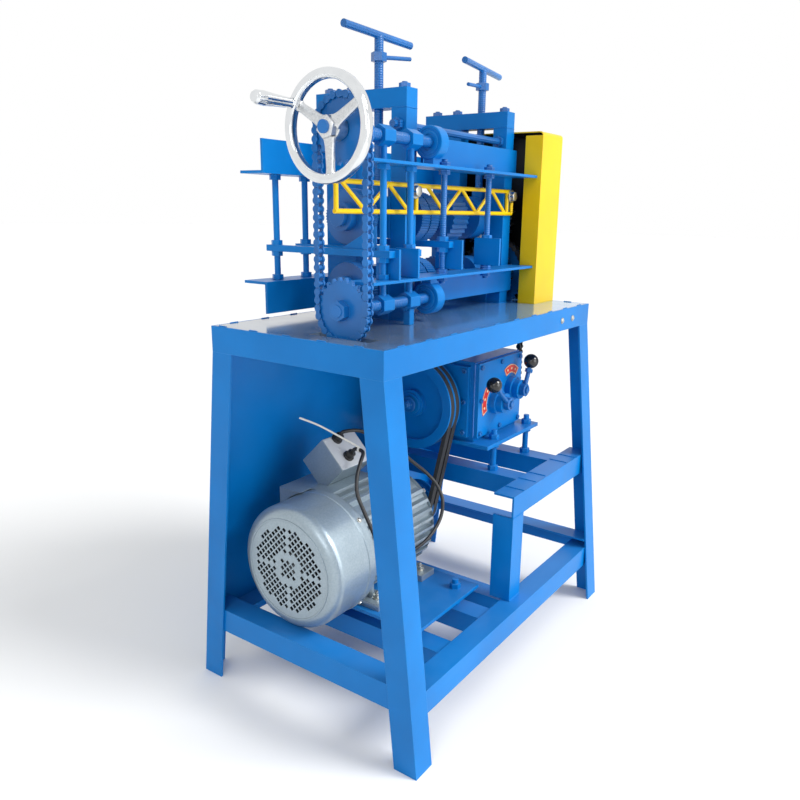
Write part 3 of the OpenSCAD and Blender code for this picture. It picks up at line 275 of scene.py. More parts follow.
blueEnamel = glossEnamel("blue_gloss_enamel", {
    "colour": "#007ccc", "deep": "#006fba", "edge": "#3f9fe6", "rough": (0.28, 0.44), "dust": 0.08,
    "shine": 0.2, "coat": 0.05})
blueSpray = glossEnamel("blue_enamel_sprayed_over_machined_steel", {
    "colour": "#0670be", "deep": "#055496", "edge": "#5ca0d8", "rough": (0.26, 0.44),
    "peelMm": 3, "peel": 0.2, "edgeMm": 0.8, "dust": 0.06, "shine": 0.5})
threadPaint = {
    "colour": "#0672c2", "deep": "#055a9e", "edge": "#5ca0d8", "rough": (0.26, 0.44), "edgeMm": 0.6,
    "dust": 0.06, "shine": 0.5}
uprightThread = glossEnamel("blue_enamel_sprayed_over_upright_thread", {
    **threadPaint, "threadMm": 2.5, "threadAxis": "Z"})
levelThread = glossEnamel("blue_enamel_sprayed_over_level_thread", {
    **threadPaint, "threadMm": 3, "threadAxis": "X"})
yellowPaint = {
    "colour": "#f4cd0c", "deep": "#ebbf08", "edge": "#fae26a", "rough": (0.26, 0.40), "dust": 0.05}
yellowEnamel = glossEnamel("yellow_gloss_enamel", yellowPaint)
paleEnamel = glossEnamel("light_grey_enamel_on_sheet", {
    "colour": "#c9ccd0", "deep": "#b9bdc2", "edge": "#e2e4e6", "rough": (0.28, 0.42), "dust": 0.1})
redEnamel = glossEnamel("red_printed_sheet", {
    "colour": "#e23a2a", "deep": "#cf3022", "edge": "#f08a70", "rough": (0.3, 0.45), "edgeMm": 0.4,
    "dust": 0.05})
creamPaint = glossEnamel("cream_printing_ink", {
    "colour": "#f3dfb0", "deep": "#ead3a0", "edge": "#f7ecd0", "rough": (0.4, 0.55), "edgeMm": 0.2,
    "dust": 0.05})
sealant = glossEnamel("blue_paint_over_sealant", {
    "colour": "#2f86dc", "deep": "#1c6cc4", "edge": "#9cc8f2", "rough": (0.10, 0.22), "peelMm": 6,
    "peel": 0.4, "coat": 0.6})


# hammer-finish enamel on cast iron: grey with soft dimples and a low metallic glint
def hammerEnamel(name, look):
    material, tree, surface, place = startMaterial(name)
    dimples = addNode(tree, "ShaderNodeTexVoronoi", {"Vector": place, "Scale": perMetre(look["dimpleMm"])},
                      feature="SMOOTH_F1")
    clouds = addNode(tree, "ShaderNodeTexNoise", {
        "Vector": place, "Scale": perMetre(look["cloudMm"]), "Detail": 4.0})
    tone = addNode(tree, "ShaderNodeValToRGB", {"Fac": clouds}, ((0, look["deep"]), (1, look["colour"])))
    light = addNode(tree, "ShaderNodeMath", {0: dimples, 1: look["fleckShare"]}, operation="MULTIPLY")
    fleck = addNode(tree, "ShaderNodeMix", {"Factor": light, "A": tone, "B": hexColor(look["fleck"])},
                    data_type="RGBA")
    low, high = look["rough"]
    gloss = addNode(tree, "ShaderNodeMapRange", {"Value": clouds, "To Min": low, "To Max": high})
    rounded = addNode(tree, "ShaderNodeBevel", {"Radius": look["edgeMm"] * mm}, samples=4)
    normal = addNode(tree, "ShaderNodeBump", {
        "Height": dimples, "Normal": rounded, "Strength": 0.16, "Distance": look["dimpleDepthMm"] * mm})
    setInputs(tree, surface, {
        "Base Color": fleck, "Roughness": gloss, "Normal": normal, "Metallic": 0.5, "Coat Weight": 0.4,
        "Coat Roughness": 0.1})
    return material


motorGrey = hammerEnamel("grey_hammer_enamel_on_cast_iron", {
    "colour": "#9cacb6", "deep": "#82929c", "fleck": "#bccad2", "fleckShare": 0.35, "rough": (0.28, 0.42),
    "dimpleMm": 4, "dimpleDepthMm": 0.5, "cloudMm": 90, "edgeMm": 2})


# the gear guard: yellow outside, and painted shade, a near-black colour, on the faces that look into it
def guardEnamel(name, look):
    material = glossEnamel(name, look)
    tree = material.node_tree
    surface = tree.nodes["Principled BSDF"]
    outside = surface.inputs["Base Color"].links[0].from_socket
    sides = addNode(tree, "ShaderNodeNewGeometry").outputs
    inward = addNode(tree, "ShaderNodeVectorMath", {0: look["middle"], 1: sides["Position"]},
                     operation="SUBTRACT")
    looks = addNode(tree, "ShaderNodeVectorMath", {0: inward, 1: sides["True Normal"]},
                    operation="DOT_PRODUCT")
    # faces that look inward get the near-black painted shade, standing in for the shadow inside the guard
    paintedShadeMask = addNode(tree, "ShaderNodeMath", {0: looks, 1: 0.0}, operation="GREATER_THAN")
    mixed = addNode(tree, "ShaderNodeMix", {"Factor": paintedShadeMask, "A": outside, "B": hexColor(look["paintedShadeColour"])},
                    data_type="RGBA")
    setInputs(tree, surface, {"Base Color": mixed})
    return material


guardYellow = guardEnamel("yellow_enamel_with_painted_shade_inside", {
    **yellowPaint, "paintedShadeColour": "#14161a", "middle": (0.4455, 0.05, 1.09)})


# the table plate: grey-blue gloss paint, blending toward +X into a lighter blue that is a painted
# reflection of the blue head
def tableFinish(name, look):
    material = glossEnamel(name, look)
    tree = material.node_tree
    surface = tree.nodes["Principled BSDF"]
    plateTone = surface.inputs["Base Color"].links[0].from_socket
    place = addNode(tree, "ShaderNodeTexCoord").outputs["Object"]
    along = addNode(tree, "ShaderNodeSeparateXYZ", {"Vector": place}).outputs["X"]
    breakup = addNode(tree, "ShaderNodeTexNoise", {
        "Vector": place, "Scale": perMetre(look["breakupMm"]), "Detail": 4.0})
    drift = addNode(tree, "ShaderNodeMath", {0: breakup, 1: look["ragged"], 2: along},
                    operation="MULTIPLY_ADD")
    start, end = look["fade"]
    # painted reflection: the share of lighter blue grows along X, and noise breaks up where it starts
    paintedReflection = addNode(tree, "ShaderNodeMapRange", {
        "Value": drift, "From Min": start, "From Max": end, "To Max": look["paintedReflectionShare"]})
    mixed = addNode(tree, "ShaderNodeMix", {"Factor": paintedReflection, "A": plateTone, "B": hexColor(look["paintedReflection"])},
                    data_type="RGBA")
    setInputs(tree, surface, {"Base Color": mixed})
    return material


tableEnamel = tableFinish("grey_blue_enamel_with_painted_reflection_on_plate", {
    "colour": "#6c7a88", "deep": "#587390", "edge": "#93a7b8", "rough": (0.14, 0.28), "peelMm": 9,
    "dust": 0.16, "shine": 0.5, "coat": 0.8, "paintedReflection": "#5f9fd8", "paintedReflectionShare": 0.9,
    "fade": (-0.15, 0.15), "ragged": 0.12, "breakupMm": 120})  # the fade runs along X, in metres


# bright metals: chrome keeps a hard mirror, zinc is soft and faintly yellow, and turned steel shows
# its lathe rings
metal = {"edgeMm": 0.8, "grainMm": 3, "grainDepthMm": 0.2}


def brightMetal(name, look):
    material, tree, surface, place = startMaterial(name)
    smear = addNode(tree, "ShaderNodeTexNoise", {
        "Vector": place, "Scale": perMetre(look["smearMm"]), "Detail": 4.0})
    tone = addNode(tree, "ShaderNodeValToRGB", {"Fac": smear}, ((0, look["deep"]), (1, look["colour"])))
    low, high = look["rough"]
    gloss = addNode(tree, "ShaderNodeMapRange", {"Value": smear, "To Min": low, "To Max": high})
    rounded = addNode(tree, "ShaderNodeBevel", {"Radius": metal["edgeMm"] * mm}, samples=4)
    if "ringMm" in look:  # lathe marks across the X axis
        height = addNode(tree, "ShaderNodeTexWave", {
            "Vector": place, "Scale": perMetre(look["ringMm"]) / (2 * math.pi), "Distortion": 1.0},
            bands_direction="X").outputs["Fac"]
    else:
        height = addNode(tree, "ShaderNodeTexNoise", {
            "Vector": place, "Scale": perMetre(metal["grainMm"]), "Detail": 2.0})
    normal = addNode(tree, "ShaderNodeBump", {
        "Height": height, "Normal": rounded, "Strength": look["bump"],
        "Distance": metal["grainDepthMm"] * mm})
    setInputs(tree, surface, {"Base Color": tone, "Roughness": gloss, "Normal": normal, "Metallic": 1.0})
    return material


chrome = brightMetal("polished_chrome_on_cast_iron", {
    "colour": "#eceeef", "deep": "#d2d5d8", "rough": (0.04, 0.12), "smearMm": 30, "bump": 0.05})
castSilver = brightMetal("chrome_flashed_rough_casting", {
    "colour": "#f0f1f2", "deep": "#a8acb0", "rough": (0.22, 0.42), "smearMm": 2.5, "bump": 0.9})
zincPlate = brightMetal("zinc_plated_steel", {
    "colour": "#c9c9c2", "deep": "#a5a49b", "rough": (0.25, 0.42), "smearMm": 12, "bump": 0.15})
turnedSteel = brightMetal("turned_bright_steel", {
    "colour": "#bfc2c5", "deep": "#9b9fa4", "rough": (0.2, 0.36), "smearMm": 20, "bump": 0.2, "ringMm": 3})
oiledSteel = brightMetal("oiled_chain_steel", {
    "colour": "#55585c", "deep": "#303236", "rough": (0.28, 0.5), "smearMm": 8, "bump": 0.2})


# moulded and extruded plastics: a plain colour, with a fine grain that spreads the shine
polymer = {"grainDepthMm": 0.3, "ior": 1.5}


def plainPolymer(name, resin):
    look = {**polymer, **resin}
    material, tree, surface, place = startMaterial(name)
    grain = addNode(tree, "ShaderNodeTexNoise", {
        "Vector": place, "Scale": perMetre(look["grainMm"]), "Detail": 3.0})
    tone = addNode(tree, "ShaderNodeValToRGB", {"Fac": grain}, ((0, look["deep"]), (1, look["colour"])))
    low, high = look["rough"]
    gloss = addNode(tree, "ShaderNodeMapRange", {"Value": grain, "To Min": low, "To Max": high})
    normal = addNode(tree, "ShaderNodeBump", {
        "Height": grain, "Strength": look["bump"], "Distance": look["grainDepthMm"] * mm})
    setInputs(tree, surface, {
        "Base Color": tone, "Roughness": gloss, "Normal": normal, "IOR": look["ior"]})
    return material


beltRubber = plainPolymer("fabric_faced_rubber", {
    "colour": "#3a3a3a", "deep": "#1f1f20", "rough": (0.55, 0.8), "grainMm": 5, "bump": 0.4})
ballResin = plainPolymer("moulded_phenolic_resin", {
    "colour": "#161617", "deep": "#0c0c0d", "rough": (0.08, 0.16), "grainMm": 25, "bump": 0.03, "ior": 1.6})
leadSheath = plainPolymer("extruded_pvc_sheath", {
    "colour": "#2a2a2c", "deep": "#19191a", "rough": (0.35, 0.5), "grainMm": 7, "bump": 0.15})
fanPlastic = plainPolymer("moulded_polypropylene", {
    "colour": "#3c3e42", "deep": "#2b2d30", "rough": (0.4, 0.55), "grainMm": 4, "bump": 0.1})
tieNylon = plainPolymer("moulded_nylon", {
    "colour": "#e6e4dc", "deep": "#d5d2c8", "rough": (0.35, 0.5), "grainMm": 9, "bump": 0.05, "ior": 1.53})
print("materials made")


# what each CAD node is finished in; every other one is blue enamel
finishOf = [
    (yellowEnamel, ["truss_guard"]),
    (guardYellow, ["gear_guard"]),
    (redEnamel, ["position_plates"]),
    (motorGrey, ["motor_body", "motor_end_shields", "fan_cover", "terminal_base", "terminal_box"]),
    (chrome, ["handwheel", "grip"]),
    (turnedSteel, ["motor_shaft", "input_shaft", "output_shaft", "lower_gear", "upper_gear"]),
    (beltRubber, ["v_belts"]),
    (ballResin, ["speed_knob", "range_knob"]),
    (leadSheath, ["motor_lead"]),
    (fanPlastic, ["motor_fan"]),
    (oiledSteel, ["drive_chain"]),
    (tableEnamel, ["table_top"]),
    (blueSpray, [
        "guide_chain", "upper_sprocket", "lower_sprocket", "lower_wheels", "upper_wheels", "lower_shaft",
        "upper_shaft", "head_bolts", "left_lock_nut", "right_lock_nut", "driven_sprocket",
        "output_sprocket", "speed_lever", "range_lever"]),
    (uprightThread, ["clamp_rods", "left_screw", "right_screw"]),
    (levelThread, ["upper_screw", "lower_screw"]),
]
finishByNode = {node: finish for finish, names in finishOf for node in names}
for name, cad in nodes.items():
    cad.data.materials.clear()
    cad.data.materials.append(finishByNode.get(name, blueEnamel))
print("CAD nodes finished")


# small hardware and the forms that follow the CAD, each on its own body
def tidy(mesh):
    bmesh.ops.recalc_face_normals(mesh, faces=mesh.faces[:])
    return mesh


def smoothRoute(points, steps):
    # a curve through every point, with rounded turns
    route = []
    ends = [points[0] * 2 - points[1], *points, points[-1] * 2 - points[-2]]
    for a, b, c, d in zip(ends, ends[1:], ends[2:], ends[3:]):
        for k in range(steps):
            t = k / steps
            route.append(0.5 * (2 * b + (c - a) * t + (2 * a - 5 * b + 4 * c - d) * t ** 2
                                + (3 * b - a - 3 * c + d) * t ** 3))
    route.append(points[-1])
    return route


# switch box, turned up on its edge: pale front plate with corner screws, and a rubber grommet at each gland
switchBox = {
    "centre": (-166, 116, 516), "half": 45, "length": 56,
    "plateMargin": 1, "plateLayers": ((0, 0.1), (0, 1.2), (0.8, 1.8)),  # inset and height of each
    "glandX": -14, "glandUp": (34, -17), "glandEnd": 63.3,
    "screw": [(3.4, 1.6), (3.2, 3.0), (1.6, 3.6), (0, 3.6)], "screwAt": (50, 39),
    "button": [(4, 1.6), (4, 2.8), (2, 3.4), (0, 3.4)], "buttonAt": (-26, 9),
    "grommet": [(14, 1.4), (14, 5), (12, 7), (10.4, 7), (10.4, 18.6), (8, 20), (4.6, 20)],
}


def boxPoint(x, up, out):
    # a point on the box, which is turned by 45 degrees about X
    c = math.sqrt(0.5)
    cx, cy, cz = switchBox["centre"]
    return Vector((cx + x, cy + c * (up - out), cz + c * (up + out)))


def buildSwitchBox():
    face = switchBox["half"]
    out = boxPoint(0, 0, 1) - boxPoint(0, 0, 0)
    plate = bmesh.new()
    margin = switchBox["plateMargin"]
    loops = []
    for inset, lift in switchBox["plateLayers"]:
        a, b = switchBox["length"] - margin - inset, face - margin - inset
        loops.append([boxPoint(x, u, face + lift) for x, u in ((-a, -b), (a, -b), (a, b), (-a, b))])
    loftInto(plate, loops)
    wide, tall = switchBox["screwAt"]
    for x in (-wide, wide):
        for u in (-tall, tall):
            latheInto(plate, switchBox["screw"], out, boxPoint(x, u, face) * mm, steps=16)
    latheInto(plate, switchBox["button"], out, boxPoint(*switchBox["buttonAt"], face) * mm, steps=16)
    makePiece("box_front_plate", tidy(plate), "frame", paleEnamel)
    rubber = bmesh.new()
    for up in switchBox["glandUp"]:
        gland = boxPoint(switchBox["glandX"], up, face)
        latheInto(rubber, switchBox["grommet"], out, gland * mm, steps=32)
    makePiece("box_grommets", tidy(rubber), "frame", leadSheath)


buildSwitchBox()
print("switch box fitted")

# the black lead: out of the upper gland, over and round the motor's front, back into the lower gland
lead = {"diameter": 9, "straight": 16, "steps": 8, "hang": [  # offsets from the box's centre
    (20, -52, 78), (50, -78, 58), (97, -106, 24), (142, -124, -19), (184, -144, -61), (196, -168, -94),
    (188, -188, -126), (162, -198, -161), (112, -202, -188), (52, -203, -198), (-13, -202, -194),
    (-56, -196, -176), (-76, -187, -150), (-78, -171, -118), (-78, -146, -76), (-76, -124, -38),
    (-63, -112, -4), (-38, -102, 24), (-14, -90, 40)]}


def buildLead():
    x, end = switchBox["glandX"], switchBox["glandEnd"]
    ends = [[boxPoint(x, up, end + s) for s in (0, lead["straight"])] for up in switchBox["glandUp"]]
    middle = [Vector(switchBox["centre"]) + Vector(p) for p in lead["hang"]]
    points = [*ends[0], *middle, *reversed(ends[1])]
    route = [p * mm for p in smoothRoute(points, lead["steps"])]
    line = bpy.data.curves.new("motor_lead_loop", "CURVE")
    line.dimensions = "3D"
    line.bevel_depth = lead["diameter"] / 2 * mm
    line.bevel_resolution = 4
    spline = line.splines.new("POLY")
    spline.points.add(len(route) - 1)
    for point, place in zip(spline.points, route):
        point.co = (*place, 1)
    loop = bpy.data.objects.new("motor_lead_loop", line)
    bpy.context.scene.collection.objects.link(loop)
    line.materials.append(leadSheath)
    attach(loop, "frame")
    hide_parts("motor_lead")


buildLead()
print("lead hung")

# cast handwheel: oval rim, three flat spokes that flare into the rim and the hub, and the hub's nut
wheel = {
    "centre": (-408, -78, 1250.975), "gripAngle": 29,
    "rimRadius": 90, "rimHalf": (10, 9.4), "rimPower": 0.6, "rimSteps": 120, "rimSides": 20,
    "spokes": 3, "spokeSpan": (17, 83), "spokeHalf": (11.5, 8), "spokeThick": 4.6, "spokeOff": 6,
    "spokePower": 0.55, "spokeSteps": 14, "spokeSides": 16,
    # a spoke's swelling at the hub and at the rim: how much, and the length it dies out over
    "wideSwell": ((4, 5), (4, 4)), "thickSwell": ((2, 6), (2, 4)),
    "hub": [(12, 6), (20, 6), (22, 8), (22, 30), (20, 34), (12, 34)], "nut": (36, 16), "nutOff": 7,
    "spindle": [(0, -95), (5, -95), (5, -4), (11, -6), (11, -3)],
}


def ovalPoint(turn, halfA, halfB, power):
    # a point on an oblong with rounded corners, which a power of 1 makes an ellipse
    c, s = math.cos(turn), math.sin(turn)
    return halfA * math.copysign(abs(c) ** power, c), halfB * math.copysign(abs(s) ** power, s)


def rimInto(mesh):
    x, y, z = wheel["centre"]
    wide, tall = wheel["rimHalf"]
    steps, sides = wheel["rimSteps"], wheel["rimSides"]
    loops = []
    for i in range(steps):
        turn = 2 * math.pi * i / steps
        loop = []
        for k in range(sides):
            outward, along = ovalPoint(2 * math.pi * k / sides, tall, wide, wheel["rimPower"])
            radius = wheel["rimRadius"] + outward
            loop.append((x + along, y + radius * math.cos(turn), z + radius * math.sin(turn)))
        loops.append(loop)
    loftInto(mesh, loops, closed=True)


def swollen(size, swell, fromHub, fromRim):
    for (grow, length), distance in zip(swell, (fromHub, fromRim)):
        size += grow * math.exp(-distance / length)
    return size


def spokeInto(mesh, turn):
    x, y, z = wheel["centre"]
    out = Vector((0, math.cos(turn), math.sin(turn)))
    side = Vector((0, -math.sin(turn), math.cos(turn)))
    start, end = wheel["spokeSpan"]
    atHub, atRim = wheel["spokeHalf"]
    steps, sides = wheel["spokeSteps"], wheel["spokeSides"]
    loops = []
    for k in range(steps + 1):
        r = start + (end - start) * k / steps
        half = swollen(atHub + (atRim - atHub) * k / steps, wheel["wideSwell"], r - start, end - r)
        thick = swollen(wheel["spokeThick"], wheel["thickSwell"], r - start, end - r)
        loop = []
        for i in range(sides):
            across, deep = ovalPoint(2 * math.pi * i / sides, half, thick, wheel["spokePower"])
            loop.append(Vector((x + wheel["spokeOff"] + deep, y, z)) + out * r + side * across)
        loops.append(loop)
    loftInto(mesh, loops)


def buildHandwheel():
    mesh = bmesh.new()
    centre = Vector(wheel["centre"])
    axis = Vector((1, 0, 0))
    gripTurn = math.radians(wheel["gripAngle"])
    rimInto(mesh)
    rimFaces = len(mesh.faces)
    for s in range(wheel["spokes"]):
        spokeInto(mesh, math.radians(wheel["gripAngle"] + 360 / wheel["spokes"] * s))
    latheInto(mesh, wheel["hub"], axis, centre * mm)
    hexInto(mesh, *wheel["nut"], -axis, (centre + axis * wheel["nutOff"]) * mm)
    for i, face in enumerate(mesh.faces):
        face.material_index = 0 if i < rimFaces else 1
    pin = centre + Vector((0, math.cos(gripTurn), math.sin(gripTurn))) * wheel["rimRadius"]
    latheInto(mesh, wheel["spindle"], axis, pin * mm, steps=24)
    piece = makePiece("handwheel_casting", tidy(mesh), "handwheel", chrome)
    piece.data.materials.append(castSilver)
    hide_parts("handwheel")


buildHandwheel()
print("handwheel cast")

# bright washers and bolt heads that hold the truss, and the turned rings on the screw bearings
head = {
    "bolts": (-93, 355), "seat": (-50.6, 1149.7), "boltHead": (21.6, 9.8), "boltOff": 3, "screwY": -78,
    "washer": [(16.4, 0.3), (16.4, -3.0), (15.6, -3.6), (10, -3.6)],
    "bearings": ((-82, 1250.975), (-82, 917.6)),
    "rings": [(35.2, -0.4), (35.2, 1.6), (33.8, 3), (29, 3), (28, 0.8), (23, 0.8), (22.4, 2.2), (17.6, 2.2),
              (16.6, 0.2)],
    "apronScrews": ((333, -230, 836), (399, -230, 836)),
    "apronScrew": [(8, -0.3), (8, 1.2), (6, 1.6), (5.6, 3.4), (3.6, 4.6), (0, 5)],
}


def buildHeadHardware():
    bolts = bmesh.new()
    y, z = head["seat"]
    for x in head["bolts"]:
        latheInto(bolts, head["washer"], (0, 1, 0), Vector((x, y, z)) * mm, steps=40)
        hexInto(bolts, *head["boltHead"], (0, -1, 0), Vector((x, y - head["boltOff"], z)) * mm)
    makePiece("truss_bolt_heads", tidy(bolts), "frame", zincPlate)
    screws = bmesh.new()
    for place in head["apronScrews"]:
        latheInto(screws, head["apronScrew"], (0, -1, 0), Vector(place) * mm, steps=28)
    makePiece("apron_screws", tidy(screws), "frame", zincPlate)
    rings = bmesh.new()
    for x, z in head["bearings"]:
        latheInto(rings, head["rings"], (-1, 0, 0), Vector((x, head["screwY"], z)) * mm, steps=56)
    makePiece("screw_bearing_rings", tidy(rings), "frame", blueEnamel)


buildHeadHardware()
print("head fitted out")

# weld beads on the stand and head, and the tacks that hold the table plate
welds = {
    "portalX": (-93, 355), "portalHalf": 20, "posts": ((-40, 0), (100, 187)), "footOut": 0.5,
    "foot": (865.5, 3), "top": (1322, 1.6),  # height and bead radius
    "tackX": (-390, 480), "tackY": (-180, 200), "tackPitch": 92, "tackLength": 24, "tackRadius": 2.6,
    "plateX": (-432, 504), "plateY": (-225, 225), "plateZ": 865,
    "stand": [  # on both sides: start, end and bead radius
        *[((x, 283, z), (x, 262, z), 2) for z in (104, 160) for x in (-432, 504)],
        ((45, 262, 160.5), (101, 262, 160.5), 2.6),
        ((45, 262, 384), (101, 262, 384), 2.2),
        ((101, 262, 440.5), (101, 206, 440.5), 2.2),
        *[((x, 257, 440.5), (x, 206, 440.5), 1.8) for x in (175, 231, 364, 420)],
    ],
    # under the two screw bearings
    "bearingX": (-82, -57), "bearingY": (-52, -40), "bearingZ": (1250.975, 917.6), "bearingDown": 10,
    "bearingRadius": 1.8,
}


def buildWelds():
    mesh = bmesh.new()

    def lay(a, b, radius):
        beadInto(mesh, Vector(a) * mm, Vector(b) * mm, radius)

    half = welds["portalHalf"]
    footZ, footRadius = welds["foot"]
    topZ, topRadius = welds["top"]
    for x in welds["portalX"]:
        for y0, y1 in welds["posts"]:
            front = y0 - welds["footOut"]
            lay((x - half, front, footZ), (x + half, front, footZ), footRadius)
            for side in (-half, half):
                lay((x + side, y0, footZ), (x + side, y1, footZ), footRadius)
                lay((x + side, y0, topZ), (x + side, y1, topZ), topRadius)
        front = welds["posts"][0][0]
        lay((x - half, front, topZ), (x + half, front, topZ), topRadius)
    z, length, radius = welds["plateZ"], welds["tackLength"], welds["tackRadius"]
    for x in range(*welds["tackX"], welds["tackPitch"]):
        for y in welds["plateY"]:
            lay((x, y, z), (x + length, y, z), radius)
    for y in range(*welds["tackY"], welds["tackPitch"]):
        for x in welds["plateX"]:
            lay((x, y, z), (x, y + length, z), radius)
    for side in (-1, 1):
        for (x0, y0, z0), (x1, y1, z1), radius in welds["stand"]:
            lay((x0, side * y0, z0), (x1, side * y1, z1), radius)
    near, far = welds["bearingY"]
    for height in welds["bearingZ"]:
        z = height - welds["bearingDown"]
        for x in welds["bearingX"]:
            lay((x, near, z), (x, far, z), welds["bearingRadius"])
    makePiece("weld_beads", tidy(mesh), "frame", blueEnamel, smooth=60)


buildWelds()
print("welds laid")


# cap head with a six-sided pocket: shares of its radius and height, and the round's steps to each flat
capHead = {
    "pocket": 0.55, "lip": 1.12, "topWidth": 0.92, "sideHeight": 0.85, "pocketFloor": 0.5,
    "sunkMm": 0.5, "perFlat": 4,
}


def socketScrewInto(mesh, place, axis, radius, height):
    seat = Vector(place) * mm
    turned = axisFrame(axis, seat)
    rim = radius * capHead["pocket"]
    lip = rim * capHead["lip"]
    perFlat = capHead["perFlat"]
    steps = 6 * perFlat
    side = [(radius, -capHead["sunkMm"]), (radius, height * capHead["sideHeight"]),
            (radius * capHead["topWidth"], height), (lip, height)]
    latheInto(mesh, side, axis, seat, steps)
    outer = ringInto(mesh, turned, lip, height, steps)
    pocket = ringInto(mesh, turned, rim, height, 6)
    bottom = ringInto(mesh, turned, rim, height * capHead["pocketFloor"], 6)
    for i in range(6):
        j = (i + 1) % 6
        mesh.faces.new((pocket[i], pocket[j], bottom[j], bottom[i]))
        fan = [outer[(perFlat * i + k) % steps] for k in range(perFlat + 1)]
        mesh.faces.new((pocket[i], *fan, pocket[j]))
    mesh.faces.new(bottom)


# gearbox: cap screws on the cover and the bearing flange, and the squeezed-out sealant on the joint
gearbox = {
    "cover": (141, 377, 534, 732, -97),  # x from and to, z from and to, y
    "flange": (131, -71, 151, 534, 723),  # x, y from and to, z from and to
    "screw": (6.4, 5.2), "screwInset": 12, "coverInsetZ": 11,
    "joint": -85, "sealantOut": 1, "sealantRadius": 2.4, "sealantRipple": 11,
}


def buildGearboxScrews():
    mesh = bmesh.new()
    inset, insetZ = gearbox["screwInset"], gearbox["coverInsetZ"]
    x0, x1, z0, z1, y = gearbox["cover"]
    rows = (z0 + insetZ, (z0 + z1) / 2, z1 - insetZ)
    columns = (x0 + inset, (x0 + x1) / 2, x1 - inset)
    for x in columns:
        for z in rows:
            if (x, z) != (columns[1], rows[1]):
                socketScrewInto(mesh, (x, y, z), (0, -1, 0), *gearbox["screw"])
    x, y0, y1, z0, z1 = gearbox["flange"]
    for y in (y0 + inset, y1 - inset):
        for z in (z0 + inset, (z0 + z1) / 2, z1 - inset):
            socketScrewInto(mesh, (x, y, z), (-1, 0, 0), *gearbox["screw"])
    makePiece("gearbox_screws", tidy(mesh), "frame", blueSpray)


def buildSealant():
    mesh = bmesh.new()
    x0, x1, z0, z1, _ = gearbox["cover"]
    proud = gearbox["sealantOut"]
    left, right, top = x0 - proud, x1 + proud, z1 + proud
    outline = ((left, z0), (left, top), (right, top), (right, z0))
    corners = [Vector((x, gearbox["joint"], z)) for x, z in outline]
    for a, b in zip(corners, corners[1:]):
        beadInto(mesh, a * mm, b * mm, gearbox["sealantRadius"], gearbox["sealantRipple"])
    makePiece("gasket_sealant", tidy(mesh), "frame", sealant, smooth=80)


buildGearboxScrews()
buildSealant()
print("gearbox dressed")

# the washer and bolt that hold the big pulley on its shaft
pulley = {
    "end": (61, 66, 617), "washer": [(21, -0.2), (21, 3), (19.5, 4.2), (11, 4.2)],
    "bolt": (22, 9), "boltOff": 3.8, "boltEnd": [(6, 11), (6, 15), (5, 16), (0, 16)],
}


def buildPulleyBolt():
    mesh = bmesh.new()
    place = Vector(pulley["end"])
    axis = Vector((-1, 0, 0))
    latheInto(mesh, pulley["washer"], axis, place * mm)
    hexInto(mesh, *pulley["bolt"], axis, (place + axis * pulley["boltOff"]) * mm)
    latheInto(mesh, pulley["boltEnd"], axis, place * mm, steps=24)
    makePiece("pulley_end_bolt", tidy(mesh), "gearbox_input", blueSpray)


buildPulleyBolt()
print("pulley bolted")

# lever hubs: a turned ring and a screw end on each pivot, which swing with their levers
levers = {
    "pivots": {"speed_lever": (226, 618), "range_lever": (312, 640)}, "front": -147,
    "nut": (17, 6), "nutOff": 1,
    "ring": [(17.2, -0.4), (17.2, 1.2), (15, 2.4), (12, 2.4), (11.4, 1.0), (8, 1.0)],
}


def buildLeverEnds():
    axis = Vector((0, -1, 0))
    for body, (x, z) in levers["pivots"].items():
        mesh = bmesh.new()
        place = Vector((x, levers["front"], z))
        latheInto(mesh, levers["ring"], axis, place * mm)
        hexInto(mesh, *levers["nut"], axis, (place + axis * levers["nutOff"]) * mm)
        makePiece(body + "_pivot_nut", tidy(mesh), body, blueSpray)


buildLeverEnds()
print("levers finished")

# position plates: cream edge lines and a dot at each of the lever's places
marks = {
    "radii": (42, 66), "face": -98,
    "spans": ((226, 618, 122, 206), (312, 640, 46, 124)),  # centre x and z, degrees from and to
    "line": 1.7, "raised": 0.35, "sunk": 0.4, "insetAngle": 1.8, "insetArc": 1.6, "insetEnd": 1,
    "arcSteps": 24, "dots": 3, "firstDot": 0.2, "dotStep": 0.3, "dot": [(3.4, 0), (3.4, 0.3), (0, 0.4)],
}


def buildPlateMarks():
    mesh = bmesh.new()
    inner, outer = marks["radii"]
    y = marks["face"]

    def onPlate(x, z, angle, radius, lift):
        turn = math.radians(angle)
        return Vector((x + radius * math.cos(turn), y - lift, z + radius * math.sin(turn)))

    def strip(x, z, path):
        # a flat line of even width along a path of (angle, radius)
        points = [onPlate(x, z, angle, radius, marks["raised"]) for angle, radius in path]
        down = Vector((0, marks["sunk"], 0))
        loops = []
        for i, p in enumerate(points):
            ahead = (points[min(i + 1, len(points) - 1)] - points[max(i - 1, 0)]).normalized()
            aside = Vector((ahead.z, 0, -ahead.x)) * marks["line"] / 2
            loops.append([p + aside, p - aside, p - aside + down, p + aside + down])
        loftInto(mesh, loops)

    middle = (inner + outer) / 2
    inset, count = marks["insetAngle"], marks["arcSteps"]
    for x, z, a0, a1 in marks["spans"]:
        steps = [a0 + inset + (a1 - a0 - 2 * inset) * i / count for i in range(count + 1)]
        strip(x, z, [(a, outer - marks["insetArc"]) for a in steps])
        strip(x, z, [(a, inner + marks["insetArc"]) for a in steps])
        for a in (steps[0], steps[-1]):
            strip(x, z, [(a, inner + marks["insetEnd"]), (a, middle), (a, outer - marks["insetEnd"])])
        for k in range(marks["dots"]):
            share = marks["firstDot"] + marks["dotStep"] * k
            place = onPlate(x, z, a0 + (a1 - a0) * share, middle, 0)
            latheInto(mesh, marks["dot"], (0, -1, 0), place * mm, steps=20)
    makePiece("plate_marks", tidy(mesh), "frame", creamPaint)


buildPlateMarks()
print("plates marked")

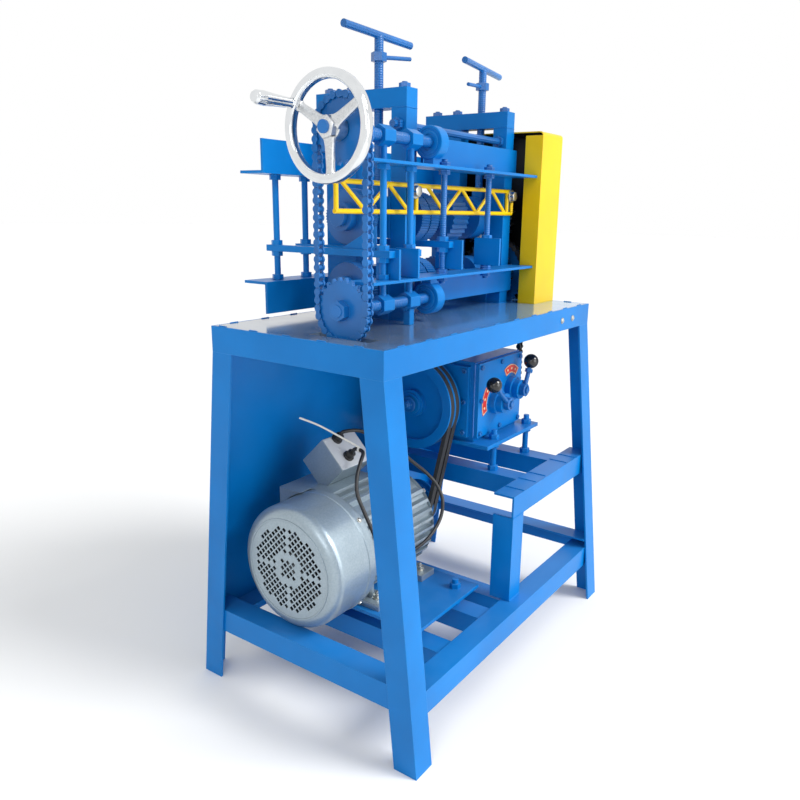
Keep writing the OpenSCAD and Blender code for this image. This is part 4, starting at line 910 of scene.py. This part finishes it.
# motor: foot bolts with washers, screws round the fan cover and the end shield
motor = {
    "axis": (66, 330), "feet": [(-211, 108), (-33, 108), (-211, -108), (-33, -108)], "footTop": 214,
    "footWasher": [(12, 0), (12, 2.2), (11, 2.6), (6, 2.6)], "footNut": (18, 8), "footNutUp": 2.4,
    "stud": [(5, 9), (5, 17), (4, 18), (0, 18)],
    "coverEnd": -271, "coverRadius": 145, "coverScrew": (8, 4),
    "coverWasher": [(6.4, -0.6), (6.4, 0.8), (4, 1)],
    "shieldEnd": 24, "shieldRadius": 102, "shieldBolt": (13, 7),
}


def buildMotorFixings():
    mesh = bmesh.new()
    y, z = motor["axis"]
    up = Vector((0, 0, 1))
    for x, off in motor["feet"]:
        place = Vector((x, y + off, motor["footTop"]))
        latheInto(mesh, motor["footWasher"], up, place * mm, steps=28)
        hexInto(mesh, *motor["footNut"], up, (place + up * motor["footNutUp"]) * mm)
        latheInto(mesh, motor["stud"], up, place * mm, steps=16)
    for k in range(4):
        a = math.pi / 4 + k * math.pi / 2
        out = Vector((0, math.cos(a), math.sin(a)))
        place = Vector((motor["coverEnd"], y, z)) + out * motor["coverRadius"]
        hexInto(mesh, *motor["coverScrew"], out, place * mm)
        latheInto(mesh, motor["coverWasher"], out, place * mm, steps=20)
        near = Vector((motor["shieldEnd"], y, z)) + out * motor["shieldRadius"]
        hexInto(mesh, *motor["shieldBolt"], (1, 0, 0), near * mm)
    makePiece("motor_fixings", tidy(mesh), "frame", zincPlate)


buildMotorFixings()
print("motor fixed down")

# the nylon tie round the two leads, with its tail left standing
tie = {
    "centre": (-180, 37, 559.5), "radius": 5.6, "slant": 0.18, "loopSteps": 24, "strap": (4.8, 1.3),
    "tail": [(-180, 37, 565.4), (-190, 46, 575), (-222, 66, 600), (-262, 90, 630), (-300, 112, 652)],
    "tailSteps": 6, "loopAcross": (0, 1, 0), "tailAcross": (0, -0.7, 0.7),
}


def ribbonInto(mesh, points, wide, thick, across):
    # a flat strap along the points, its width turned toward across
    loops = []
    for i, p in enumerate(points):
        ahead = (points[min(i + 1, len(points) - 1)] - points[max(i - 1, 0)]).normalized()
        aside = (across - ahead * across.dot(ahead)).normalized() * wide / 2
        deep = ahead.cross(aside).normalized() * thick / 2
        loops.append([p + aside + deep, p + aside - deep, p - aside - deep, p - aside + deep])
    loftInto(mesh, loops)


def buildTie():
    mesh = bmesh.new()
    centre = Vector(tie["centre"])
    loop = []
    for i in range(tie["loopSteps"] + 1):
        a = 2 * math.pi * i / tie["loopSteps"]
        around = Vector((math.cos(a), tie["slant"] * math.sin(a), math.sin(a)))
        loop.append(centre + around * tie["radius"])
    ribbonInto(mesh, loop, *tie["strap"], Vector(tie["loopAcross"]))
    tail = smoothRoute([Vector(p) for p in tie["tail"]], tie["tailSteps"])
    ribbonInto(mesh, tail, *tie["strap"], Vector(tie["tailAcross"]))
    makePiece("cable_tie", tidy(mesh), "frame", tieNylon)


buildTie()
print("tie pulled tight")

# world, floor and lamps
studio = {
    "floor": "#f7f7f6", "floorRough": 0.8, "floorHalf": 40, "backdrop": "#ffffff", "worldStrength": 1.0,
    # share of the way up, colour
    "skyRamp": ((0.5, "#5f646a"), (0.62, "#7e8389"), (0.8, "#d0d2d4"), (1.0, "#ffffff")),
    "sunFrom": (0.32, -0.78, 0.72), "sunStrength": 2.1, "sunSpread": 24,  # degrees
    "lamps": [  # name, place, target, size in metres, watts
        ("side", (-3.2, -1.2, 2.2), (0, 0, 0.8), 1.6, 26),
        ("front", (0.4, -3.0, 1.2), (0, 0, 0.7), 1.8, 30),
    ],
}


def lightWorld():
    # a soft sky lights the machine, and a white backdrop is what the camera and the reflections see
    world = bpy.data.worlds.new("studio")
    bpy.context.scene.world = world
    world.use_nodes = True
    tree = world.node_tree
    tree.nodes.clear()
    rays = addNode(tree, "ShaderNodeLightPath").outputs
    straight = addNode(tree, "ShaderNodeMath", {0: rays["Is Camera Ray"], 1: rays["Is Transmission Ray"]},
                       operation="MAXIMUM")
    seen = addNode(tree, "ShaderNodeMath", {0: straight, 1: rays["Is Glossy Ray"]}, operation="MAXIMUM")
    aim = addNode(tree, "ShaderNodeTexCoord").outputs["Generated"]
    height = addNode(tree, "ShaderNodeSeparateXYZ", {"Vector": aim}).outputs["Z"]
    share = addNode(tree, "ShaderNodeMapRange", {"Value": height, "From Min": -1.0, "From Max": 1.0})
    sky = addNode(tree, "ShaderNodeValToRGB", {"Fac": share}, studio["skyRamp"])
    lit = addNode(tree, "ShaderNodeBackground", {"Color": sky, "Strength": studio["worldStrength"]})
    pale = addNode(tree, "ShaderNodeBackground", {"Color": hexColor(studio["backdrop"]), "Strength": 1.0})
    mix = addNode(tree, "ShaderNodeMixShader", {0: seen, 1: lit, 2: pale})
    addNode(tree, "ShaderNodeOutputWorld", {"Surface": mix})


def layFloor():
    mesh = bmesh.new()
    bmesh.ops.create_grid(mesh, x_segments=1, y_segments=1, size=studio["floorHalf"])
    data = bpy.data.meshes.new("floor")
    mesh.to_mesh(data)
    mesh.free()
    floor = bpy.data.objects.new("floor", data)
    bpy.context.scene.collection.objects.link(floor)
    material, tree, surface, _ = startMaterial("pale_painted_floor")
    setInputs(tree, surface, {"Base Color": hexColor(studio["floor"]), "Roughness": studio["floorRough"]})
    data.materials.append(material)


def hangLamps():
    sun = bpy.data.lights.new("sun", "SUN")
    sun.energy = studio["sunStrength"]
    sun.angle = math.radians(studio["sunSpread"])
    holder = bpy.data.objects.new("sun", sun)
    holder.matrix_world = axisFrame(studio["sunFrom"], studio["sunFrom"])
    bpy.context.scene.collection.objects.link(holder)
    for name, place, target, size, watts in studio["lamps"]:
        lamp = bpy.data.lights.new(name, "AREA")
        lamp.size = size
        lamp.energy = watts
        holder = bpy.data.objects.new(name, lamp)
        holder.matrix_world = axisFrame(Vector(place) - Vector(target), place)
        bpy.context.scene.collection.objects.link(holder)


lightWorld()
layFloor()
hangLamps()
bpy.context.scene.view_settings.view_transform = "Standard"
print("studio lit")
